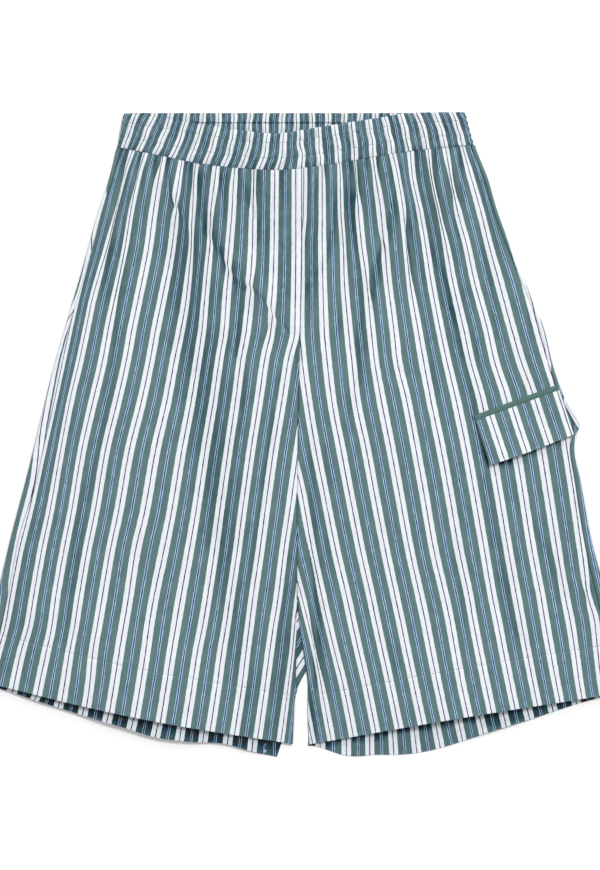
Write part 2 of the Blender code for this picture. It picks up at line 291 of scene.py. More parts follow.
# %% Runs of the white stripes on the fronts
REPEAT = 23.4
WHITE_SHARE = 0.192
KNOTS = (-3, -2, -1, 0, 2, 3, 4, 5, 6, 8, 9, 10)
Run = namedtuple(
    "Run", "drop inner3 inner2 inner1 white0 white2 white3 white4 white5 white6 white8 white9 white10")
RUNS = {
    "right": (
        Run(30, -66, -44, -22, 4, 43, 59, 75, 93, 109, 144, 156, 172),
        Run(59, -66, -44, -22, 4, 43.5, 62, 80, 100, 113.5, 153, 166, 182),
        Run(97, -66, -44, -22, 4, 44.5, 64.5, 84.5, 101.5, 118, 161, 175, 191.5),
        Run(126, -66, -44, -21.5, 4, 45, 67, 86, 103, 121, 165.5, 182, 199),
        Run(178, -64, -42, -19.5, 4.4, 48, 70, 90.5, 108, 131, 176, 197, 212),
        Run(207, -62, -40, -18, 4.8, 51, 72, 93, 113, 137, 182, 203, 218.5),
        Run(235, -56, -34, -12, 11, 56, 76.5, 97, 119, 142, 187, 209, 224.5),
        Run(273, -50, -28, -6, 17, 61, 82, 103, 126, 150, 196, 218, 232.5),
        Run(321, -42, -19, 1.6, 25, 68, 90, 112, 137, 162, 207, 227, 243.5),
        Run(378, -34, -11, 9.5, 33, 76, 98.5, 121.5, 147, 172, 216.5, 237, 256.5),
        Run(416, -28, -5, 15.2, 38, 81, 105, 129, 156, 180, 224, 245, 266),
        Run(463, -19, 2, 20.9, 45, 88, 113.5, 139, 163, 188, 232, 253, 275),
        Run(487, -12, 5, 25, 48, 92, 117.5, 143, 167, 192, 235, 257, 279),
        Run(511, -8, 7, 28.6, 51, 97, 121.5, 146, 171, 196, 240, 264, 286),
        Run(544, -3.6, 11, 33, 55, 102, 126.5, 151, 176, 199, 247, 271, 295),
        Run(620, 5, 21, 44, 67, 114, 139, 164, 189, 213, 261, 285, 309),
    ),
    "left": (
        Run(30, -58, -37, -15.5, 3.4, 36, 50, 67, 85, 104, 137, 153, 168),
        Run(59, -58, -37, -15.5, 3.6, 38, 52.7, 71, 92, 106, 142, 161, 179),
        Run(97, -58, -37, -15.5, 3.2, 39, 55.2, 77, 98, 114, 150, 172, 190),
        Run(126, -60, -39, -17.5, 1, 41, 58.3, 80, 100.5, 119, 158, 179, 200),
        Run(159, -61, -40, -18.5, 1, 42, 63, 83, 104, 124, 165, 188, 213),
        Run(207, -62, -41, -20, 0, 46, 67.5, 89, 112, 133, 178, 201, 226),
        Run(235, -66, -43, -20.5, 2, 49, 70.5, 92, 117, 139, 184, 209, 234),
        Run(273, -61, -38, -15.5, 7, 53, 77, 101, 124, 148, 196, 222, 245),
        Run(321, -54, -31, -8, 15, 63, 86.5, 110, 134, 158, 205, 229, 253),
        Run(359, -42, -20, 1.2, 22.5, 70, 93.5, 117, 141, 165, 211, 235, 259),
        Run(416, -31, -10, 11.4, 34, 81, 104, 127, 151, 175, 220, 244, 267),
        Run(463, -14, 2.4, 21.4, 45, 91, 114.5, 138, 161, 183, 229, 252, 274),
        Run(482, -9, 7.1, 25.7, 49, 95, 118.5, 142, 164, 187, 232, 256, 279),
        Run(511, -3.2, 14.2, 32.6, 55.5, 101, 124, 147, 169.5, 192.5, 237, 260.5, 282),
        Run(544, 1.6, 20, 41, 63, 108, 130.5, 153, 176, 199, 243, 265, 286),
        Run(620, 16, 34, 56, 78, 124, 147, 170, 192, 215, 259, 281, 303),
    ),
}
print(len(KNOTS), "white stripes of each front, at", [len(rows) for rows in RUNS.values()], "levels")

# %% Counting the stripes
def count_between(whites, lines, across):
    """Stripe count between numbered white stripes that lie at the given lines."""
    count = np.zeros(np.shape(across))
    for k in range(len(whites) - 1):
        part = whites[k] + (across - lines[k]) / (lines[k + 1] - lines[k]) * (whites[k + 1] - whites[k])
        here = across >= lines[k] if k > 0 else np.full(np.shape(across), True)
        count = np.where(here, part, count)
    return count


def stripe_count(side, across, drop):
    """Number of the white stripe that passes here, with its share of the way to the next."""
    outward = across if side == "left" else -across
    levels = [row.drop for row in RUNS[side]]
    lines = [through(levels, [row[k + 1] for row in RUNS[side]], drop) for k in range(len(KNOTS))]
    return count_between(KNOTS, lines, outward)


print("stripes across each front at the hem:", round(float(
    stripe_count("left", np.array(300.0), np.array(540.0))), 1))

# %% [markdown]
# ## Tucks and creases
# Gathering hides cloth. Where a small fold runs along a white stripe it covers part of it, on the
# side towards the middle ('inner') or towards the side seam ('outer'). The tucks table says how
# many millimetres are hidden, at which drop, and how far up and down that reaches. A crease is a
# fold line that crosses the stripes and shifts them a little. Both also move the surface: the
# cloth that lies over rises, and drops sharply at its edge, which gives the thin dark lines, and
# a band of painted shade lies beyond the edge of each tuck. A hollow is the soft bed between two
# folds. Little light reaches it, so it is lowered a little and painted with shade as well.

# %% Tucks along the white stripes
Tuck = namedtuple("Tuck", "side stripe drop reach inner outer")
TUCKS = (
    Tuck("right", 9, 66, 20, 0.8, 3.8),
    Tuck("right", 9, 94, 22, 2.6, 2.4),
    Tuck("right", 9, 128, 24, 2.8, 0.0),
    Tuck("right", 8, 62, 22, 0.2, 3.4),
    Tuck("right", 8, 112, 46, 1.4, 0.6),
    Tuck("right", 8, 165, 30, 1.8, 0.6),
    Tuck("right", 7, 48, 12, 0.2, 3.4),
    Tuck("right", 6, 45, 14, 0.8, 0.8),
    Tuck("right", 6, 87.5, 6, 1.0, 2.2),
    Tuck("right", 6, 95, 8, 1.8, 0.6),
    Tuck("right", 5, 64, 16, 1.2, 2.6),
    Tuck("right", 5, 124, 26, 2.0, 1.4),
    Tuck("right", 4, 112, 24, 2.2, 1.2),
    Tuck("right", 3, 49, 14, 1.0, 1.6),
    Tuck("right", 3, 148, 16, 0.5, 1.5),
    Tuck("right", 2, 60, 14, 1.9, 1.9),
    Tuck("right", 2, 79, 13, 1.7, 1.6),
    Tuck("right", 2, 165, 14, 1.6, 0.2),
    Tuck("right", 1, 206, 10, 0.6, 1.8),
    Tuck("left", 1, 50, 14, 1.0, 2.2),
    Tuck("left", 2, 45, 22, 1.4, 1.8),
    Tuck("left", 2, 120, 60, 0.8, 1.0),
    Tuck("left", 3, 50, 22, 2.8, 2.6),
    Tuck("left", 3, 74, 14, 3.2, 2.2),
    Tuck("left", 3, 168, 16, 0.4, 2.4),
    Tuck("left", 4, 54, 16, 1.8, 1.8),
    Tuck("left", 4, 126, 11, 2.4, 0.4),
    Tuck("left", 5, 116, 16, 0.6, 4.2),
    Tuck("left", 5, 146, 26, 1.2, 2.8),
    Tuck("left", 7, 60, 26, 2.6, 2.2),
    Tuck("left", 7, 100, 26, 2.4, 1.8),
    Tuck("left", 8, 66, 18, 2.6, 2.2),
    Tuck("left", 8, 80, 9, 1.6, 0.8),
    Tuck("left", 9, 38, 14, 1.2, 1.4),
    Tuck("left", 10, 455, 13, 2.0, 1.4),
    Tuck("left", 10, 428, 16, 0.0, 0.9),
    Tuck("left", 9, 434, 14, 1.4, 0.2),
    Tuck("left", 0, 150, 60, 0.0, 0.8),
    Tuck("left", -2, 507, 26, 0.2, 4.2),
    Tuck("left", -2, 534, 20, 1.6, 0.8),
    Tuck("left", -1, 427, 26, 2.6, 0.2),
    Tuck("right", -2, 506, 42, 2.0, 1.8),
    Tuck("right", 10, 488, 14, 1.2, 0.0),
)
print(len(TUCKS), "tucks, the deepest hiding",
      round(max(tuck.inner + tuck.outer for tuck in TUCKS), 1), "mm of a white stripe")

# %% Creases across the stripes
Station = namedtuple("Station", "across drop shift height")
CREASES = (
    (
        Station(-128, 46, 0.0, 0.0),
        Station(-126, 66, 0.8, 1.0),
        Station(-121, 84, 1.4, 1.3),
        Station(-108, 105, 1.2, 1.0),
        Station(-104, 128, 0.0, 0.0),
    ),
    (
        Station(-87, 112, 0.0, 0.0),
        Station(-81, 127, 1.2, 0.6),
        Station(-71, 143, 1.0, 0.9),
        Station(-63, 155, 1.0, 0.8),
        Station(-46, 167, 1.0, 0.5),
        Station(-31, 184, 1.3, 0.6),
        Station(-22, 197, 1.3, 0.7),
        Station(-10, 210, 0.0, 0.0),
    ),
    (
        Station(-75, 52, 0.0, 0.0),
        Station(-75, 72, 0.8, 0.8),
        Station(-78, 92, 0.0, 0.0),
    ),
    (
        Station(52, 48, 0.0, 0.0),
        Station(51, 90, -0.4, 0.8),
        Station(50, 128, 0.0, 0.0),
    ),
    (
        Station(84, 60, 0.0, 0.0),
        Station(87, 92, -0.4, 0.8),
        Station(80, 126, -0.5, 0.7),
        Station(77, 150, 0.0, 0.0),
    ),
    (
        Station(263, 436, 0.0, 0.0),
        Station(268, 452, 1.4, 0.6),
        Station(276, 470, 0.0, 0.0),
    ),
)
print(len(CREASES), "creases, with", sum(len(stations) for stations in CREASES), "stations")

# %% Hollows between the folds
Bed = namedtuple("Bed", "across drop width depth")
# Each bed lowers the cloth a little and paints shade in it; its depth sets both.
HOLLOWS = (
    # The right front, from the side seam to the middle.
    (Bed(-166, 46, 3.0, 0.5), Bed(-168, 99, 4.0, 0.6), Bed(-171, 140, 4.4, 0.6), Bed(-174, 181, 4.4, 0.6),
     Bed(-176, 226, 4.4, 0.5), Bed(-184, 280, 5.0, 0.4), Bed(-195, 335, 6.0, 0.4), Bed(-209, 382, 6.0, 0.5),
     Bed(-216, 430, 6.4, 0.6), Bed(-221, 472, 6.0, 0.45), Bed(-223, 512, 6.0, 0.2)),
    (Bed(-179, 106, 4.0, 0.3), Bed(-181, 131, 6.6, 0.85), Bed(-184, 160, 6.4, 0.75),
     Bed(-188, 190, 5.0, 0.3)),
    (Bed(-228, 300, 5.0, 0.1), Bed(-233, 340, 5.0, 0.4), Bed(-242, 380, 5.0, 0.1)),
    (Bed(-259, 360, 5.0, 0.2), Bed(-267, 392, 6.0, 0.5), Bed(-278, 440, 6.0, 0.4), Bed(-284, 470, 5.0, 0.1)),
    (Bed(-184, 60, 14.0, 0.2), Bed(-196, 110, 16.0, 0.4), Bed(-204, 150, 18.0, 0.5),
     Bed(-222, 210, 18.0, 0.35), Bed(-240, 270, 20.0, 0.4), Bed(-262, 340, 22.0, 0.4),
     Bed(-280, 420, 24.0, 0.4), Bed(-290, 500, 24.0, 0.25), Bed(-296, 545, 22.0, 0.15)),
    (Bed(-258, 440, 9.0, 0.1), Bed(-262, 490, 11.0, 0.25), Bed(-266, 530, 11.0, 0.25)),
    (Bed(-151, 36, 2.6, 0.8), Bed(-152, 44, 3.0, 1.2), Bed(-155, 56, 2.4, 0.3)),
    (Bed(-133, 60, 2.4, 0.2), Bed(-139, 84, 2.4, 0.4), Bed(-144, 100, 2.4, 0.1)),
    (Bed(-126, 46, 3.0, 0.7), Bed(-126, 58, 2.0, 1.0), Bed(-122, 85, 2.6, 1.0), Bed(-116, 92, 4.6, 0.9),
     Bed(-108, 106, 5.0, 0.9), Bed(-101, 121, 5.0, 0.9), Bed(-98, 153, 6.0, 0.7), Bed(-96.5, 213, 6.4, 0.8),
     Bed(-90, 233, 6.4, 0.9), Bed(-88, 257, 6.4, 0.8), Bed(-81, 276, 7.0, 0.7), Bed(-82, 349, 7.0, 0.5),
     Bed(-72, 384, 7.0, 0.75), Bed(-74, 430, 6.0, 0.7), Bed(-76, 472, 5.0, 0.3)),
    (Bed(-104, 70, 14.0, 0.5), Bed(-110, 100, 18.0, 0.7), Bed(-112, 146, 24.0, 0.8),
     Bed(-108, 193, 26.0, 0.78), Bed(-100, 235, 26.0, 0.78), Bed(-91, 283, 24.0, 0.78),
     Bed(-84, 341, 22.0, 0.76), Bed(-78, 401, 19.0, 0.7), Bed(-72, 450, 16.0, 0.52),
     Bed(-60, 500, 14.0, 0.45), Bed(-54, 550, 13.0, 0.45), Bed(-52, 590, 12.0, 0.35)),
    (Bed(-105, 54, 4.0, 0.6), Bed(-111, 84, 4.4, 0.7), Bed(-112, 104, 3.0, 0.1)),
    (Bed(-101, 50, 3.4, 0.9), Bed(-97, 64, 5.4, 1.2), Bed(-93.5, 90, 5.6, 1.1), Bed(-89, 115, 6.0, 1.2),
     Bed(-80, 128, 6.4, 1.3), Bed(-71, 142, 6.4, 1.2), Bed(-63, 159, 5.2, 0.95), Bed(-54, 168, 4.6, 0.85),
     Bed(-41, 172, 3.8, 0.75), Bed(-31, 185, 3.4, 0.6), Bed(-22, 199, 2.6, 0.3)),
    (Bed(-60, 158, 4.0, 0.7), Bed(-57, 187, 4.0, 0.7), Bed(-59, 214, 3.6, 1.0), Bed(-60, 231, 3.6, 0.9),
     Bed(-54, 243, 4.0, 0.7), Bed(-55, 289, 4.4, 0.6), Bed(-62, 320, 4.4, 0.3), Bed(-66, 345, 4.0, 0.1)),
    (Bed(-77, 54, 2.4, 0.7), Bed(-76, 62, 2.6, 1.25), Bed(-72, 84, 3.6, 0.7), Bed(-73, 106, 3.0, 0.2)),
    (Bed(-59, 58, 2.6, 0.4), Bed(-52, 78, 3.4, 0.7), Bed(-47, 90, 3.4, 0.9), Bed(-41, 102, 3.0, 1.2),
     Bed(-41, 116, 2.8, 0.8), Bed(-44, 134, 2.4, 0.2)),
    (Bed(-33, 84, 3.0, 0.2), Bed(-31, 112, 3.0, 0.5), Bed(-33, 150, 2.4, 0.3), Bed(-34, 165, 2.4, 0.1)),
    (Bed(-27, 270, 3.6, 0.1), Bed(-26, 298, 4.4, 0.75), Bed(-33, 344, 4.4, 0.75), Bed(-38, 382, 4.4, 0.6),
     Bed(-47, 430, 4.0, 0.5), Bed(-50, 462, 4.0, 0.1)),
    (Bed(-10, 232, 2.4, 0.2), Bed(-14, 242, 3.4, 0.6), Bed(-20, 254, 3.8, 0.7), Bed(-24, 270, 3.0, 0.2)),
    (Bed(-22.5, 193, 1.4, 0.3), Bed(-16, 201, 1.8, 0.9), Bed(-9, 211, 1.6, 0.6)),
    (Bed(-10, 400, 8.0, 0.2), Bed(-13, 440, 9.0, 0.45), Bed(-17, 500, 10.0, 0.6), Bed(-20, 540, 11.0, 0.6),
     Bed(-22, 590, 11.0, 0.5)),
    (Bed(-30, 90, 20.0, 0.15), Bed(-18, 130, 16.0, 0.3), Bed(-14, 170, 12.0, 0.3), Bed(-20, 210, 10.0, 0.1)),
    (Bed(-3.2, 218, 1.6, 0.5), Bed(-3.6, 232, 2.0, 0.7), Bed(-3.8, 262, 1.8, 0.3)),
    (Bed(-3.6, 400, 2.0, 0.3), Bed(-3.8, 452, 2.8, 0.8), Bed(-4.6, 505, 3.2, 0.9), Bed(-5.6, 560, 2.6, 0.5),
     Bed(-6.4, 600, 2.4, 0.3)),
    # The left front, from the middle to the side seam.
    (Bed(5.0, 60, 2.4, 0.5), Bed(5.6, 80, 2.4, 0.7), Bed(5.8, 132, 2.4, 0.5), Bed(7.0, 206, 1.8, 0.2)),
    (Bed(35, 70, 3.0, 0.3), Bed(34.5, 86, 4.0, 0.8), Bed(30, 115, 4.0, 0.7), Bed(25.5, 134, 4.0, 0.8),
     Bed(18, 149, 5.0, 0.9), Bed(13, 156, 6.0, 0.9), Bed(5, 167, 5.4, 0.9), Bed(4, 182, 3.4, 0.5),
     Bed(2, 196, 3.0, 0.5)),
    (Bed(17, 64, 4.0, 0.5), Bed(13, 96, 5.0, 0.5), Bed(12, 130, 6.0, 0.7), Bed(10, 160, 6.0, 0.8),
     Bed(8, 190, 5.0, 0.5), Bed(8, 214, 4.0, 0.1)),
    (Bed(47, 50, 3.6, 0.8), Bed(45, 74, 4.4, 0.9), Bed(47, 86, 7.0, 1.3), Bed(48, 104, 7.0, 1.25),
     Bed(50, 118, 6.0, 0.9), Bed(54, 130, 5.0, 0.8), Bed(58.5, 162, 4.6, 0.6), Bed(58.5, 188, 5.0, 0.7),
     Bed(55.5, 219, 5.4, 0.85), Bed(56.5, 245, 4.6, 0.8), Bed(53, 262, 4.4, 0.4), Bed(47.5, 284, 6.0, 0.4),
     Bed(40, 305, 5.0, 0.1)),
    (Bed(43, 122, 2.4, 0.4), Bed(43, 136, 3.2, 0.9), Bed(40, 152, 2.4, 0.2)),
    (Bed(36, 182, 3.4, 0.1), Bed(38, 200, 4.0, 0.5), Bed(40, 216, 3.4, 0.1)),
    (Bed(94, 50, 3.0, 0.3), Bed(92, 67, 4.4, 0.8), Bed(86, 99, 4.6, 0.8), Bed(82, 121, 4.0, 0.7),
     Bed(76, 134, 5.4, 1.0), Bed(70, 162, 5.0, 0.9), Bed(66.5, 185, 4.0, 0.9), Bed(65, 204, 3.4, 0.2)),
    (Bed(68, 70, 2.4, 0.2), Bed(70, 92, 3.0, 0.4), Bed(72, 118, 2.4, 0.1)),
    (Bed(100, 80, 3.0, 0.2), Bed(102, 102, 3.8, 0.8), Bed(105, 118, 4.0, 0.6), Bed(117, 156, 4.0, 0.45),
     Bed(117, 172, 4.0, 0.3), Bed(126, 242, 4.4, 0.4), Bed(130, 278, 4.0, 0.2)),
    (Bed(108, 92, 4.0, 0.5), Bed(123, 127, 5.0, 0.95), Bed(130, 146, 4.8, 1.0), Bed(139, 162, 4.8, 1.15),
     Bed(144, 188, 4.8, 1.15), Bed(149, 207, 4.4, 0.9), Bed(155, 232, 4.4, 0.7), Bed(161, 257, 4.0, 0.6),
     Bed(166, 282, 4.0, 0.7), Bed(168, 298, 4.0, 0.8)),
    (Bed(116, 40, 5.0, 0.4), Bed(120, 70, 10.0, 0.45), Bed(124, 110, 15.0, 0.6), Bed(132, 146, 15.0, 0.6),
     Bed(144, 190, 14.0, 0.55), Bed(152, 230, 12.0, 0.4), Bed(160, 270, 10.0, 0.2)),
    (Bed(144, 70, 3.0, 0.2), Bed(147, 92, 4.0, 0.6), Bed(151, 118, 4.0, 0.6), Bed(159, 142, 4.0, 0.5),
     Bed(164, 176, 3.6, 0.2)),
    (Bed(163, 40, 2.4, 0.3), Bed(166, 56, 3.4, 0.6), Bed(177, 90, 3.6, 0.65), Bed(187, 126, 3.4, 0.4),
     Bed(192, 150, 3.0, 0.1)),
    (Bed(170, 108, 3.0, 0.3), Bed(180, 162, 4.0, 0.5), Bed(188, 213, 3.6, 0.3)),
    (Bed(162, 196, 3.0, 0.1), Bed(167, 226, 3.8, 0.6), Bed(170, 246, 3.4, 0.1)),
    (Bed(216, 184, 3.0, 0.1), Bed(218, 200, 4.0, 0.6), Bed(222, 216, 3.0, 0.1)),
    (Bed(6, 284, 3.0, 0.3), Bed(9.5, 302, 4.6, 0.5), Bed(12, 368, 4.6, 0.6), Bed(13, 416, 4.6, 0.8),
     Bed(14, 444, 3.8, 1.0), Bed(16, 473, 3.6, 1.0), Bed(18, 501, 3.2, 1.1), Bed(20, 526, 2.4, 0.4)),
    (Bed(24, 320, 4.0, 0.3), Bed(26, 415, 4.4, 0.4), Bed(30, 450, 4.0, 0.1)),
    (Bed(13.0, 500, 2.0, 0.6), Bed(14.2, 522, 3.0, 1.2), Bed(14.4, 545, 3.0, 0.9)),
    (Bed(10.0, 546, 3.6, 0.9), Bed(11, 574, 4.6, 1.1), Bed(12, 600, 4.0, 1.0)),
    (Bed(137, 330, 5.0, 0.1), Bed(141, 350, 6.0, 0.35), Bed(152, 439, 6.0, 0.35), Bed(155, 505, 5.0, 0.2)),
    (Bed(173, 346, 4.0, 0.4), Bed(180, 378, 6.0, 0.4), Bed(190, 435, 6.4, 0.5), Bed(199, 482, 6.4, 0.6),
     Bed(214, 510, 7.0, 0.5), Bed(224, 545, 6.0, 0.2)),
    (Bed(84, 495, 4.0, 0.1), Bed(89, 520, 5.4, 0.45), Bed(93, 540, 4.0, 0.1)),
    (Bed(202, 350, 4.0, 0.2), Bed(212, 380, 5.0, 0.4), Bed(233, 416, 5.0, 0.4), Bed(247, 463, 5.0, 0.3)),
    # Painted shadow of the pocket flap on the front, along its left and lower edges.
    (Bed(164, 294, 1.6, 0.3), Bed(170, 312, 2.0, 0.9), Bed(178, 332, 3.0, 1.8), Bed(190, 333.5, 3.6, 2.2),
     Bed(206, 328, 3.4, 1.9), Bed(224, 321, 2.6, 1.2), Bed(244, 313.5, 2.0, 0.9), Bed(257, 308.5, 1.6, 0.6)),
)
print(len(HOLLOWS), "hollows, with", sum(len(beds) for beds in HOLLOWS), "beds")

# %% Painted shade of small dips, and the depth of the hollows
def fold_line(stations, across, drop):
    """Signed distance to a line through stations, and its two measures beside each point."""
    nearest = np.full(np.shape(across), 1e9)
    signed, first, second = (np.zeros(np.shape(across)) for _ in range(3))
    for a, b in zip(stations, stations[1:]):
        run_x, run_y = b.across - a.across, b.drop - a.drop
        length = math.hypot(run_x, run_y)
        away_x, away_y = across - a.across, drop - a.drop
        t = (away_x * run_x + away_y * run_y) / length**2
        inside = np.clip(t, 0, 1)
        off = np.hypot(away_x - inside * run_x, away_y - inside * run_y)
        beside = (away_x * run_y - away_y * run_x) / length
        closer = off < nearest
        nearest = np.where(closer, off, nearest)
        signed = np.where(closer, np.sign(beside) * off, signed)
        first = np.where(closer, blend(a[2], b[2], inside), first)
        second = np.where(closer, blend(a[3], b[3], inside), second)
    return signed, first, second


def dent_shading(across, drop):
    """Painted shade as of small dips in the cloth, most where the elastic crushes it, from 0 to 1; the
    height is not changed here.
    """
    dent_shade = np.sin(across / 2.7 + 2.0 * np.sin(drop / 7.9)) * np.sin(drop / 4.9 + 1.9 * np.sin(across / 6.1))
    crushed_shade = np.exp(-(((across + 38) / 48) ** 2) - ((drop - 95) / 75) ** 2)
    crushed_shade = np.maximum(crushed_shade, 0.7 * np.exp(-(((across - 70) / 70) ** 2) - ((drop - 60) / 55) ** 2))
    return crushed_shade * (0.5 + 0.5 * dent_shade)


def hollow(across, drop):
    """Depth and painted shade of the hollows between the folds, from 0 to about 1; steep towards the middle.
    """
    deepest = np.zeros(np.shape(across))
    for beds in HOLLOWS:
        beside, width, depth = fold_line(beds, across, drop)
        wander = 1 + 0.25 * np.sin(drop / 7.3 + beds[0].across)
        reach = width * wander * np.where(beside > 0, 1.25, 0.7)
        deepest = np.maximum(deepest, depth * np.exp(-((beside / reach) ** 2)))
    return deepest


off_crease = fold_line(CREASES[0], np.array(0.0), np.array(105.0))[0]
print("the first crease passes", round(abs(float(off_crease))), "mm from the middle")

# %% Stripe count, height and shade with the folds in
MOST_HIDDEN = WHITE_SHARE - 0.02
VALLEY_DEPTH = 0.5
HOLLOW_DEPTH = 0.9
SHADE_REACH = 4.6


def tucked(side, across, drop):
    """Stripe count after the tucks, and the height and the painted shade that the folds give."""
    lift = np.zeros(np.shape(across))
    moved = across.copy()
    for stations in CREASES:
        beside, shift, height = fold_line(stations, across, drop)
        step = ease(beside / 3.2 + 0.5) - 0.5
        moved = moved + shift * 2 * step * np.exp(-np.abs(beside) / 9.0)
        lift += height * (1 - ease(beside / 2.4 + 0.5)) * np.exp(-np.abs(beside) / 6.0)
    count = stripe_count(side, moved, drop)
    stripe = np.round(count)
    from_middle = count - stripe
    hidden_inner, hidden_outer = np.zeros(np.shape(across)), np.zeros(np.shape(across))
    for tuck in TUCKS:
        if tuck.side == side:
            here = (stripe == tuck.stripe) * np.exp(-(((drop - tuck.drop) / tuck.reach) ** 2))
            hidden_inner += tuck.inner * here
            hidden_outer += tuck.outer * here
    hidden = np.where(from_middle > 0, hidden_outer, hidden_inner) / REPEAT
    hidden = np.clip(hidden, 0, MOST_HIDDEN)
    distance = np.abs(from_middle)
    edge_at = WHITE_SHARE - hidden
    over = ease((distance - edge_at) / 0.07 + 0.5)
    back_to_normal = 1 - ease((distance - edge_at) / (0.5 - edge_at))
    count = count + np.sign(from_middle) * hidden * over * back_to_normal
    from_edge = (distance - edge_at) * REPEAT
    ridge = 0.3 * np.exp(-np.clip(from_edge, 0, None) / 6.0) * over
    valley = VALLEY_DEPTH * np.exp(-np.abs(from_edge) / np.where(from_edge > 0, 2.6, 1.4))
    lift += hidden * REPEAT * (ridge - valley)
    # Painted shade beyond the edge of a tuck, reaching further on the side away from the light.
    away_from_light = (from_middle > 0) if side == "left" else (from_middle < 0)
    reach = np.where(away_from_light, SHADE_REACH, SHADE_REACH / 3)
    beyond = np.exp(-((np.clip(from_edge, 0, None) / reach) ** 2)) * over
    deep = hollow(across, drop)
    lift = lift - HOLLOW_DEPTH * deep
    # Painted shade: the hollows, the bands beside the tucks and the small dips.
    shade = np.maximum(deep, hidden * REPEAT / 3.6 * beyond) + 0.4 * dent_shading(across, drop)
    return count, lift, shade


print("a tuck hides up to", round(MOST_HIDDEN * REPEAT, 1), "mm of half a white stripe")

# %% [markdown]
# ## Ripples from the elastic, and the turned hem
# Below the waistband the cloth springs out in narrow ripples. They are made from three waves whose
# spacings have nothing in common, so they never repeat, and they fade down the panel. The hem is
# turned up twice inside, so below its stitching the cloth is a little thicker and stands higher.

# %% Ripples and slow waves
def ripples(across, drop):
    """Small gathers under the waistband."""
    below = np.clip(drop - column(BAND, "seam", across), 0, None)
    wander = 2.0 * np.sin(drop / 31.0 + across / 47.0)
    wave = np.sin((across + wander) / 1.63) + 0.8 * np.sin((across - wander) / 2.29 + 1.0)
    wave += 0.7 * np.sin(across / 3.71 + 2.0)
    near = np.exp(-below / 26.0) * (0.7 + 0.3 * np.sin(across / 17.0 + 0.7))
    soft = 0.35 * np.exp(-below / 120.0) * np.sin(across / 6.1 + 0.6 * np.sin(drop / 40.0))
    return 0.26 * wave * near + soft


def drape(across, drop):
    """Faint slow waves that any cloth lying loose has."""
    slow = np.sin(across / 19.0 + 0.9 * np.sin(drop / 63.0)) * np.sin(drop / 83.0 + across / 140.0)
    slower = np.sin(across / 37.0 - drop / 150.0 + 1.3)
    return 0.32 * slow + 0.4 * slower


under_band = np.linspace(-100.0, -60.0, 200)
print("ripples under the waistband reach", round(float(np.abs(ripples(under_band, 56.0)).max()), 2), "mm")

# %% Surface of a front
HEM_DEPTH = 46.0
HEM_STEP = 0.45
LOWEST_FRONT = 2.1


def front_surface(side, across, drop, share):
    """Stripe count, height and painted shade of a front, with everything that lifts it."""
    count, lift, shade = tucked(side, across, drop)
    seam = column(EDGES, side + "_seam", drop)
    inner = column(FORK, side + "_front", drop)
    free = 1 - falloff(across - seam, 16.0)
    free = free * (1 - 0.8 * falloff(across - inner, 14.0))
    height = lying_height(side, across, drop)
    height = height + free * (drape(across, drop) + lift) + 0.5 * ripples(across, drop) * (0.4 + free)
    height = LOWEST_FRONT + np.log1p(np.exp((height - LOWEST_FRONT) * 6.0)) / 6.0
    above_hem = hem_drop("front_" + side, share) - drop
    height = height + HEM_STEP * ease((HEM_DEPTH - above_hem) / 1.6 + 0.5)
    height = height - 0.35 * np.exp(-(((above_hem - HEM_DEPTH) / 1.3) ** 2))
    height = height - 0.9 * np.exp(-np.abs(across - seam) / 1.2)
    height = height - 0.9 * np.exp(-np.abs(across - inner) / 1.4)
    # Painted shade under the waistband, darkest between the puckers, and in the seams at the side and at the
    # inner edge.
    below_band = drop - column(BAND, "seam", across)
    gathered = np.exp(-np.clip(below_band, 0, None) / 36.0)
    pucker_shade = 0.5 - 0.5 * np.sin((across + 2.0 * np.sin(drop / 31.0)) / 2.6 + 2.0 * np.sin(across / 11.0))
    shade = np.maximum(shade, gathered * (0.14 + 1.15 * pucker_shade**2))
    seam_shades = np.maximum(np.exp(-(((across - seam) / 0.8) ** 2)), np.exp(-(((across - inner) / 0.8) ** 2)))
    return count, height, np.maximum(shade, 0.8 * seam_shades)


def front_place(side, u, v):
    """Across, drop and share of a front: u from the side seam to the inner edge, v down the leg."""
    u, v = np.broadcast_arrays(u, v)
    seam_line, inner_line = side + "_seam", side + "_front"
    top = column(BAND, "seam", column(EDGES, seam_line, BAND_SIDE_DROP) + 0 * u)
    for _ in range(4):
        across = blend(column(EDGES, seam_line, top), column(FORK, inner_line, top), u)
        top = column(BAND, "seam", across)
    drop = blend(top + SEAM_GAP, hem_drop("front_" + side, u), v)
    across = blend(column(EDGES, seam_line, drop), column(FORK, inner_line, drop), u)
    return across, drop


test_across, test_drop = front_place("left", np.array([0.5]), np.array([0.5]))
print("the middle of the left front is at", test_across.round(1), test_drop.round(1))

# %% [markdown]
# ## Turning a grid of points into cloth
# Every piece of cloth is made by one helper: rows and columns of points become a mesh of quads.
# The place of each point on the flat cloth, in metres, goes into a UV map called 'cloth', and how
# much painted shade it takes, in folds, seams and the shadows inside the leg mouths, into an attribute
# called 'fold'.
# A Solidify modifier gives the sheet its thickness. A cloth simulation would give softer drape,
# but it would lose the exact run of the stripes, and these shorts lie nearly flat.

# %% Cloth from a grid
CLOTH_WALL = 0.45
BORDER_SHARES = (0.08, 0.5)


def with_borders(grid):
    """The grid with one more line close inside each border, so that only the rim looks rounded."""
    for axis, share in enumerate(BORDER_SHARES):
        first, second, before, last = (np.take(grid, [place], axis) for place in (0, 1, -2, -1))
        inside = np.take(grid, range(1, grid.shape[axis] - 1), axis)
        lines = (first, blend(first, second, share), inside, blend(last, before, share), last)
        grid = np.concatenate(lines, axis)
    return grid


